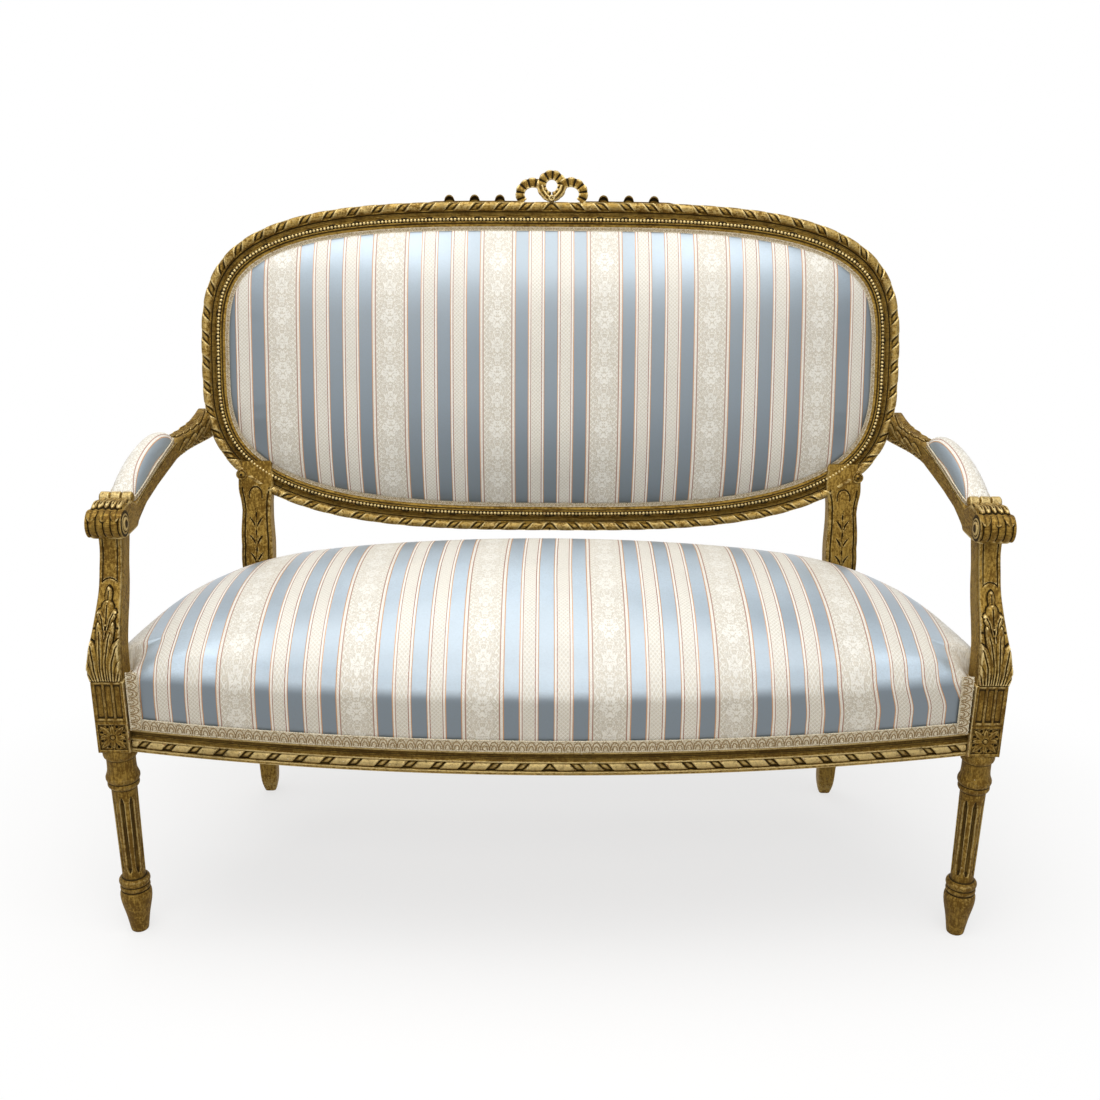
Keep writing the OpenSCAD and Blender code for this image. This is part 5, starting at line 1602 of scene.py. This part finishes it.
def pleatedLoop(made, centre, hole, start, stop, ribbon, depth, count, lift, phase=0.0, side=1):
    # Ribbon on edge round a loop: broad folds with sharp valleys between them, which open outwards
    turn = np.radians(np.linspace(start, stop, 300))
    u = np.linspace(0, 1, 11)
    ridge = abs(np.cos(turn * count / 2 + phase)) ** 0.8
    reach = ribbon * (0.96 + 0.07 * ridge)
    r = u[None] * reach[:, None]
    fold = (ridge[:, None] - 0.6) * (0.4 + 0.6 * u[None])
    top = -lift - depth * (0.35 + 0.62 * fold) - 1.0 * np.sin(u * math.pi)[None]
    x = side * (centre[0] + (hole[0] + r) * np.cos(turn)[:, None])
    s = centre[1] + (hole[1] + r) * np.sin(turn)[:, None]
    rings = np.concatenate([joined(x, top, s), joined(x, -lift + depth * 0.35, s)[:, ::-1]], 1)
    # Painted shade: dark in the valleys between the folds, on one side of each fold and over the back of the
    # ribbon
    slope = ease(np.gradient(ridge), 0.0, 0.02)
    valleyShade = np.broadcast_to((0.8 * (1 - ease(ridge, 0.3, 0.66)) + 0.14 * slope)[:, None], x.shape)
    made.skin(rings, grimeAndShade=np.concatenate([valleyShade, np.full(x.shape, 0.4)], 1))


def bowPiece():
    made = Shape()
    s = crest["s"]
    pleatedLoop(made, (0, s + 25.5), (9.2, 9.8), -86, 266, crest["ribbon"], 6.4, crest["pleats"] - 1, 2.2)
    for side in (-1, 1):
        pleatedLoop(made, (30.5, s + 12.5), (13.5, 11.0), -42, 132, crest["ribbon"], 6.0, crest["pleats"],
                    -1.6 if side < 0 else 5.2, 0.7, side)
        # Plain ends of the ribbon that run down to the knot
        path = evenly([(side * x, s + up) for x, up in crest["ends"]], 14)
        half = np.linspace(5.6, 4.4, 14)
        ahead = normed(np.gradient(path, axis=0))
        normal = np.stack([ahead[:, 1], -ahead[:, 0]], 1)
        rings = np.stack([joined(path[:, 0] + normal[:, 0] * half * u, v - 5.0 - 1.2 * (side > 0),
                                 path[:, 1] + normal[:, 1] * half * u) for u, v in crest["endSection"]], 1)
        # The plain ends are darkened all over
        made.skin(rings, grimeAndShade=0.26)
    # Knot with its eye, standing on the rail
    turn = around(28)
    knotR, depth = np.array(crest["knot"]).T[:, :, None]
    made.skin(joined(knotR * np.cos(turn), depth, s + 5.6 + knotR * 0.95 * np.sin(turn)))

    def place(points):
        return onBack(points + np.array([0, 3.5, 0]))

    return made.piece("crestBow", bowGilt, "giltwood", ["crest_bow"], crease=60, place=place)


def ovalDrop(x):
    return back["b"] * (1 - (1 - (abs(x) / back["a"]) ** back["topPower"]) ** (1 / back["topPower"]))


def ribbonPiece(name, node, sign):
    made = Shape()
    ripples = crest["ripples"]
    x = np.linspace(46, 204, 240)
    height = 3.0 + sum(9.0 * np.sqrt(np.clip(1 - ((x - r) / 8.0) ** 2, 0, 1)) for r in ripples)
    height = np.where(x > 190, 3.0 - 2.4 * (x - 190) / 14, height)
    low = crest["s"] - ovalDrop(x) - 1.2
    wave = sum(np.sqrt(np.clip(1 - ((x - r) / 9.0) ** 2, 0, 1)) for r in ripples)
    front = 1.5 - 5.5 * wave
    rings = np.stack([joined(x, front + 1.2, low + height - 1.6), joined(x, front, low + height),
                      joined(x, crest["tailBack"], low + height), joined(x, crest["tailBack"], low),
                      joined(x, 5.5, low), joined(x, 5.5, low + np.maximum(0.5, height - 3.0))], 1)
    after = np.roll(rings, -1, 1)
    rings = np.concatenate([
        rings[:, [i]] + (after - rings)[:, [i]] * (np.arange(count) / count)[None, :, None]
        for i, count in enumerate((2, 9, 5, 5, 4, 3))], 1)
    # Darker between the ripples
    made.skin(swap(sign, rings), grimeAndShade=0.25 * (1 - ease(wave, 0.05, 0.4))[:, None])
    return made.piece(name, crestGilt, "giltwood", [node], crease=60, place=onBack)


bowPiece()
ribbonPiece("crestRibbonLeft", "crest_ribbon_left", -1)
ribbonPiece("crestRibbonRight", "crest_ribbon_right", 1)
print("bow carved")


# Arm pads

armPad = {
    "front": 110.0,
    "back": 292.0,
    "crown": 25.0,
    "halfLess": 3.5,
}


def padShare(y):
    return np.clip(1 - abs(2 * (y - armPad["front"]) / (armPad["back"] - armPad["front"]) - 1) ** 2.6,
                   0, 1) ** 0.5


def padHalf(y):
    return (armWide(y) / 2 - armPad["halfLess"]) * (0.72 + 0.28 * padShare(y)) + 2.0


def armPadPiece(name, nodes, sign):
    made = Shape()
    ys = np.linspace(armPad["front"] + 1, armPad["back"] - 1, 72)
    mid, half = armMid(ys), padHalf(ys)
    high = 3 + armPad["crown"] * padShare(ys) + 2.0
    turn = np.linspace(0, math.pi, 40)
    arch = np.stack([np.sign(np.cos(turn)) * abs(np.cos(turn)) ** 0.8, np.sin(turn) ** 0.75], 1)
    base = armTop(ys) + 0.1
    x = mid[:, None] + half[:, None] * arch[:, 0]
    z = base[:, None] + high[:, None] * arch[:, 1]
    under = joined(mid[:, None] + half[:, None] * np.linspace(-1, 1, 12)[1:-1], ys[:, None], base[:, None])
    rings = np.concatenate([joined(x, ys[:, None], z), under], 1)
    made.skin(swap(sign, rings))
    piece = made.piece(name, stripes, "damask", nodes, crease=0, hollows=0)
    steps = np.linalg.norm(np.diff(np.stack([x, z], -1), axis=1), axis=-1)
    # 0 over the middle, growing towards the inner side
    girth = half[:, None] * 1.18 - np.cumsum(np.c_[np.zeros(len(ys)), steps], axis=1)
    spread = np.zeros(rings.shape)
    spread[:, :40, 0] = 86.5 - girth
    spread[:, 40:, 0] = 87.5
    spread[..., 1] = ys[:, None]
    # Painted sheen over the whole arm pad
    spread[..., 2] = 0.4
    layCloth(piece.data, spread)


armPadPiece("armPadLeft", ["arm_cover_left", "arm_pad_left"], -1)
armPadPiece("armPadRight", ["arm_cover_right", "arm_pad_right"], 1)


def armGimpPiece(name, node, sign):
    ys = np.linspace(armPad["front"] + 0.4, armPad["back"] - 0.4, 60)
    reach = padHalf(ys) + 0.9
    line = np.vstack([np.stack([armMid(ys) + reach, ys], 1), np.stack([armMid(ys) - reach, ys], 1)[::-1]])
    line = evenly(line, 190, True)
    ahead = normed(np.roll(line, -1, 0) - np.roll(line, 1, 0))
    for _ in range(3):
        ahead = normed(ahead + np.roll(ahead, 1, 0) + np.roll(ahead, -1, 0))
    out = joined(ahead[:, 1], -ahead[:, 0], 0)
    centre = joined(line[:, 0], line[:, 1], armTop(line[:, 1]) + 3.3)
    layGimp(name, swap(sign, centre), (0, 0, 1.0), swap(sign, out), 6.2, 7.2, node, True, None, 1.0)


armGimpPiece("armGimpLeft", "arm_gimp_left", -1)
armGimpPiece("armGimpRight", "arm_gimp_right", 1)
print("arms padded")


# Gimp round the seat

seatGimp = {
    "width": 17.0,
    "midZ": 348.5,
    "upZ": 427.0,
    "stripX": 579.5,
    "loop": 12.6,
    "out": 4.0,
}


def seatGimpLength(name, line, across, outward, node=None):
    layGimp(name, line, across, outward, seatGimp["width"], seatGimp["loop"], node, False)


def seatGimpPieces():
    e, mid = seatGimp["out"], seatGimp["midZ"]
    xs = np.linspace(-seatGimp["stripX"] + 9, seatGimp["stripX"] - 9, 150)
    front = joined(xs, bowY(xs, e - seatFrame["rebate"]) - 0.4, mid)
    out = joined(xs / bowR, -np.sqrt(1 - (xs / bowR) ** 2), 0)
    seatGimpLength("frontGimp", front, (0, 0, 1.0), out, "seat_gimp")
    for name, sign in (("gimpEndLeft", -1), ("gimpEndRight", 1)):
        zs = np.linspace(mid - seatGimp["width"] / 2, seatGimp["upZ"], 30)
        y0 = float(bowY(seatGimp["stripX"], e - seatFrame["rebate"])) - 1.4
        line = joined(seatGimp["stripX"], y0 + 1.5 * ease(zs, 408, 427), zs)
        seatGimpLength(name, swap(sign, line), (1.0, 0, 0), (0, -1.0, 0))
    for name, sign in (("sideGimpLeft", -1), ("sideGimpRight", 1)):
        ys = np.linspace(seatFrame["blockSize"] + 1.5, seatFrame["setback"] - 1.5, 50)
        line = joined(sideX(ys, seatFrame["rebate"] - e - 0.4), ys, mid)
        out = swap(sign, np.array([math.cos(sideLean), math.sin(sideLean), 0]))
        seatGimpLength(name, swap(sign, line), (0, 0, 1.0), out)
    reach = seatFrame["rearX"] - seatFrame["stileWidth"] / 2 - 1 - seat["postGap"] - 8
    line = joined(np.linspace(-reach, reach, 120), seat["backY"] + e + 0.4, mid)
    seatGimpLength("rearGimp", line, (0, 0, 1.0), (0, 1.0, 0))


seatGimpPieces()
print("seat gimp laid")


# Under the seat: webbing and springs

underSeat = {
    "rows": (106, 196, 286),
    "columns": (-375, -225, -75, 75, 225, 375),
    "band": 50.0,
    "thick": 1.6,
    # Half a strap across: share of its half width, and share of its thickness
    "strap": [(-1, 0.3), (-0.94, 1.0), (-0.88, 0.8), (-0.5, 0.8), (0, 0.8), (0.5, 0.8), (0.88, 0.8),
              (0.94, 1.0), (1, 0.3)],
    "rearY": 422.0,
    "springR": 42.0,
    "springHigh": 120.0,
    "wire": 4.0,
    "turns": 4,
}


def strap(made, spread, start, end, z):
    # A woven strap with thick edges
    start, end = np.array(start, float), np.array(end, float)
    way = normed(end - start)
    side = np.array([-way[1], way[0]])
    t = np.linspace(0, 1, 40)[:, None]
    us, thick = np.array(underSeat["strap"]).T
    us = np.r_[us, us[::-1]] * underSeat["band"] / 2
    heights = np.r_[thick, -thick[::-1]] * underSeat["thick"] / 2
    spots = (start + (end - start) * t)[:, None] + us[:, None] * side
    made.skin(joined(spots[..., 0], spots[..., 1], z + heights))
    spread.append(joined(us, t * np.linalg.norm(end - start), 0).reshape(-1, 3))


def underPieces():
    webbing, spread = Shape(), []
    for y in underSeat["rows"]:
        half = float(sideX(y + 25)) - 14
        strap(webbing, spread, (-half, y), (half, y), seatFrame["railBottom"] - 0.8)
    for x in underSeat["columns"]:
        near = float(bowY(abs(x) - 25)) + 14
        strap(webbing, spread, (x, near), (x, underSeat["rearY"]), seatFrame["railBottom"] - 2.4)
    piece = webbing.piece("webbing", webbingCloth, "jute", ["seat_webbing"], crease=0, hollows=0)
    layCloth(piece.data, np.vstack(spread))

    coil = Shape()
    t = np.linspace(0, 1, 110)
    turn = t * underSeat["turns"] * 2 * math.pi
    r = underSeat["springR"] - 13 * np.sin(t * math.pi) - underSeat["wire"] / 2
    z = (underSeat["wire"] / 2
         + (underSeat["springHigh"] - underSeat["wire"]) * (t - 0.09 * np.sin(t * 2 * math.pi)))
    line = joined(r * np.cos(turn), r * np.sin(turn), z + seatFrame["railBottom"])
    for x in underSeat["columns"]:
        for y in (underSeat["rows"][0], underSeat["rows"][2]):
            coil.tube(line + [x, y, 0], underSeat["wire"] / 2 - 0.1, 7)
    coil.piece("springs", springSteel, "spring_steel", ["seat_springs"], crease=0, hollows=0)


underPieces()
print("seat sprung")


# Carried over as they are: rear rail, brace, corner blocks, dowels and hessian

for node, material in (("rear_rail", gilt), ("seat_brace", bareWood), ("corner_blocks", bareWood),
                       ("joint_dowels", bareWood), ("seat_hessian", hessianCloth)):
    for held in frame["nodes"][node].material_slots:
        held.material = material


# Stage, light and camera

studio = {
    "floor": (0.9, 0.9, 0.9),
    "bounce": (0.64, 0.58, 0.48),
    "topPower": 89.0,
    "frontPower": 50.0,
    "sky": 0.22,
    "shade": 0.7,  # how far the shadow under the seat is lightened
}


def addLight(name, spot, aim, size, power, colour=(1, 1, 1)):
    lamp = bpy.data.lights.new(name, "AREA")
    lamp.shape = "RECTANGLE"
    lamp.size, lamp.size_y = size
    lamp.energy = power
    lamp.color = colour
    made = bpy.data.objects.new(name, lamp)
    bpy.context.scene.collection.objects.link(made)
    way = Vector(aim) - Vector(spot)
    made.location = spot
    made.rotation_euler = way.to_track_quat("-Z", "Y").to_euler()
    return made


def makeStage():
    white = (1, 1, 1, 1)
    mesh = bpy.data.meshes.new("studioFloor")
    mesh.from_pydata([(-9, -7, 0), (9, -7, 0), (9, 11, 0), (-9, 11, 0)], [], [(0, 1, 2, 3)])
    floor = bpy.data.objects.new("studioFloor", mesh)
    bpy.context.scene.collection.objects.link(floor)
    b = Board("studioFloorPaint")
    paint = b.mix(b.add("ShaderNodeLightPath"), studio["bounce"], studio["floor"])
    plain = b.add("ShaderNodeBsdfDiffuse", {}, {"Color": paint})
    bright = b.add("ShaderNodeEmission", {}, {"Color": white, "Strength": 1.0})
    # Away from the legs the floor is as white as the backdrop; under them it keeps the shadow
    x, y, _ = b.split(b.place())
    far = ((x / 0.95) ** 2 + ((y - 0.05) / 0.62) ** 2) ** 0.5
    share = b.steps(far, 0.75, 1.35) * (1 - studio["shade"]) + studio["shade"]
    b.mixed(share * b.seen(), plain, bright)
    mesh.materials.append(b.owner)

    world = bpy.data.worlds.new("studioSky")
    bpy.context.scene.world = world
    b = Board("studioSky", world)
    sky = b.tree.nodes["Background"]
    b.join(sky, {"Color": white, "Strength": studio["sky"]})
    backdrop = b.add("ShaderNodeBackground", {}, {"Color": white})
    b.mixed(b.seen(), Wire(b, sky.outputs[0]), backdrop, "World Output")


makeStage()
addLight("overheadKey", (-0.15, -0.45, 3.05), (-0.1, -0.4, 0), (3.4, 2.4), studio["topPower"],
         (1.0, 0.99, 0.97))
addLight("frontKey", (-0.3, -3.0, 2.4), (0, 0, 0.6), (5.4, 1.4), studio["frontPower"], (1.0, 0.98, 0.95))

view = {
    "place": (-0.01045, -1.86643, 1.14192),
    "pitch": 0.331462,
    "yaw": -0.0045923,
    "roll": -0.0069408,
    "lens": 41.75,
    "shift": (0.0011, 0.0159),
}


def makeCamera():
    cp, sp = math.cos(view["pitch"]), math.sin(view["pitch"])
    turn = Matrix.Rotation(view["yaw"], 3, "Z")
    right, down, ahead = (turn @ Vector(v) for v in ((1, 0, 0), (0, -sp, -cp), (0, cp, -sp)))
    c, s = math.cos(view["roll"]), math.sin(view["roll"])
    right, down = right * c + down * s, down * c - right * s
    lens = bpy.data.cameras.new("studioCamera")
    lens.lens = view["lens"]
    lens.sensor_width = 36
    lens.sensor_fit = "HORIZONTAL"
    lens.shift_x, lens.shift_y = view["shift"]
    lens.clip_end = 60
    camera = bpy.data.objects.new("studioCamera", lens)
    bpy.context.scene.collection.objects.link(camera)
    rows = Matrix((right, -down, -ahead)).transposed().to_4x4()
    camera.matrix_world = Matrix.Translation(view["place"]) @ rows
    bpy.context.scene.camera = camera


makeCamera()
bpy.context.scene.view_settings.view_transform = "Standard"
print("settee dressed")
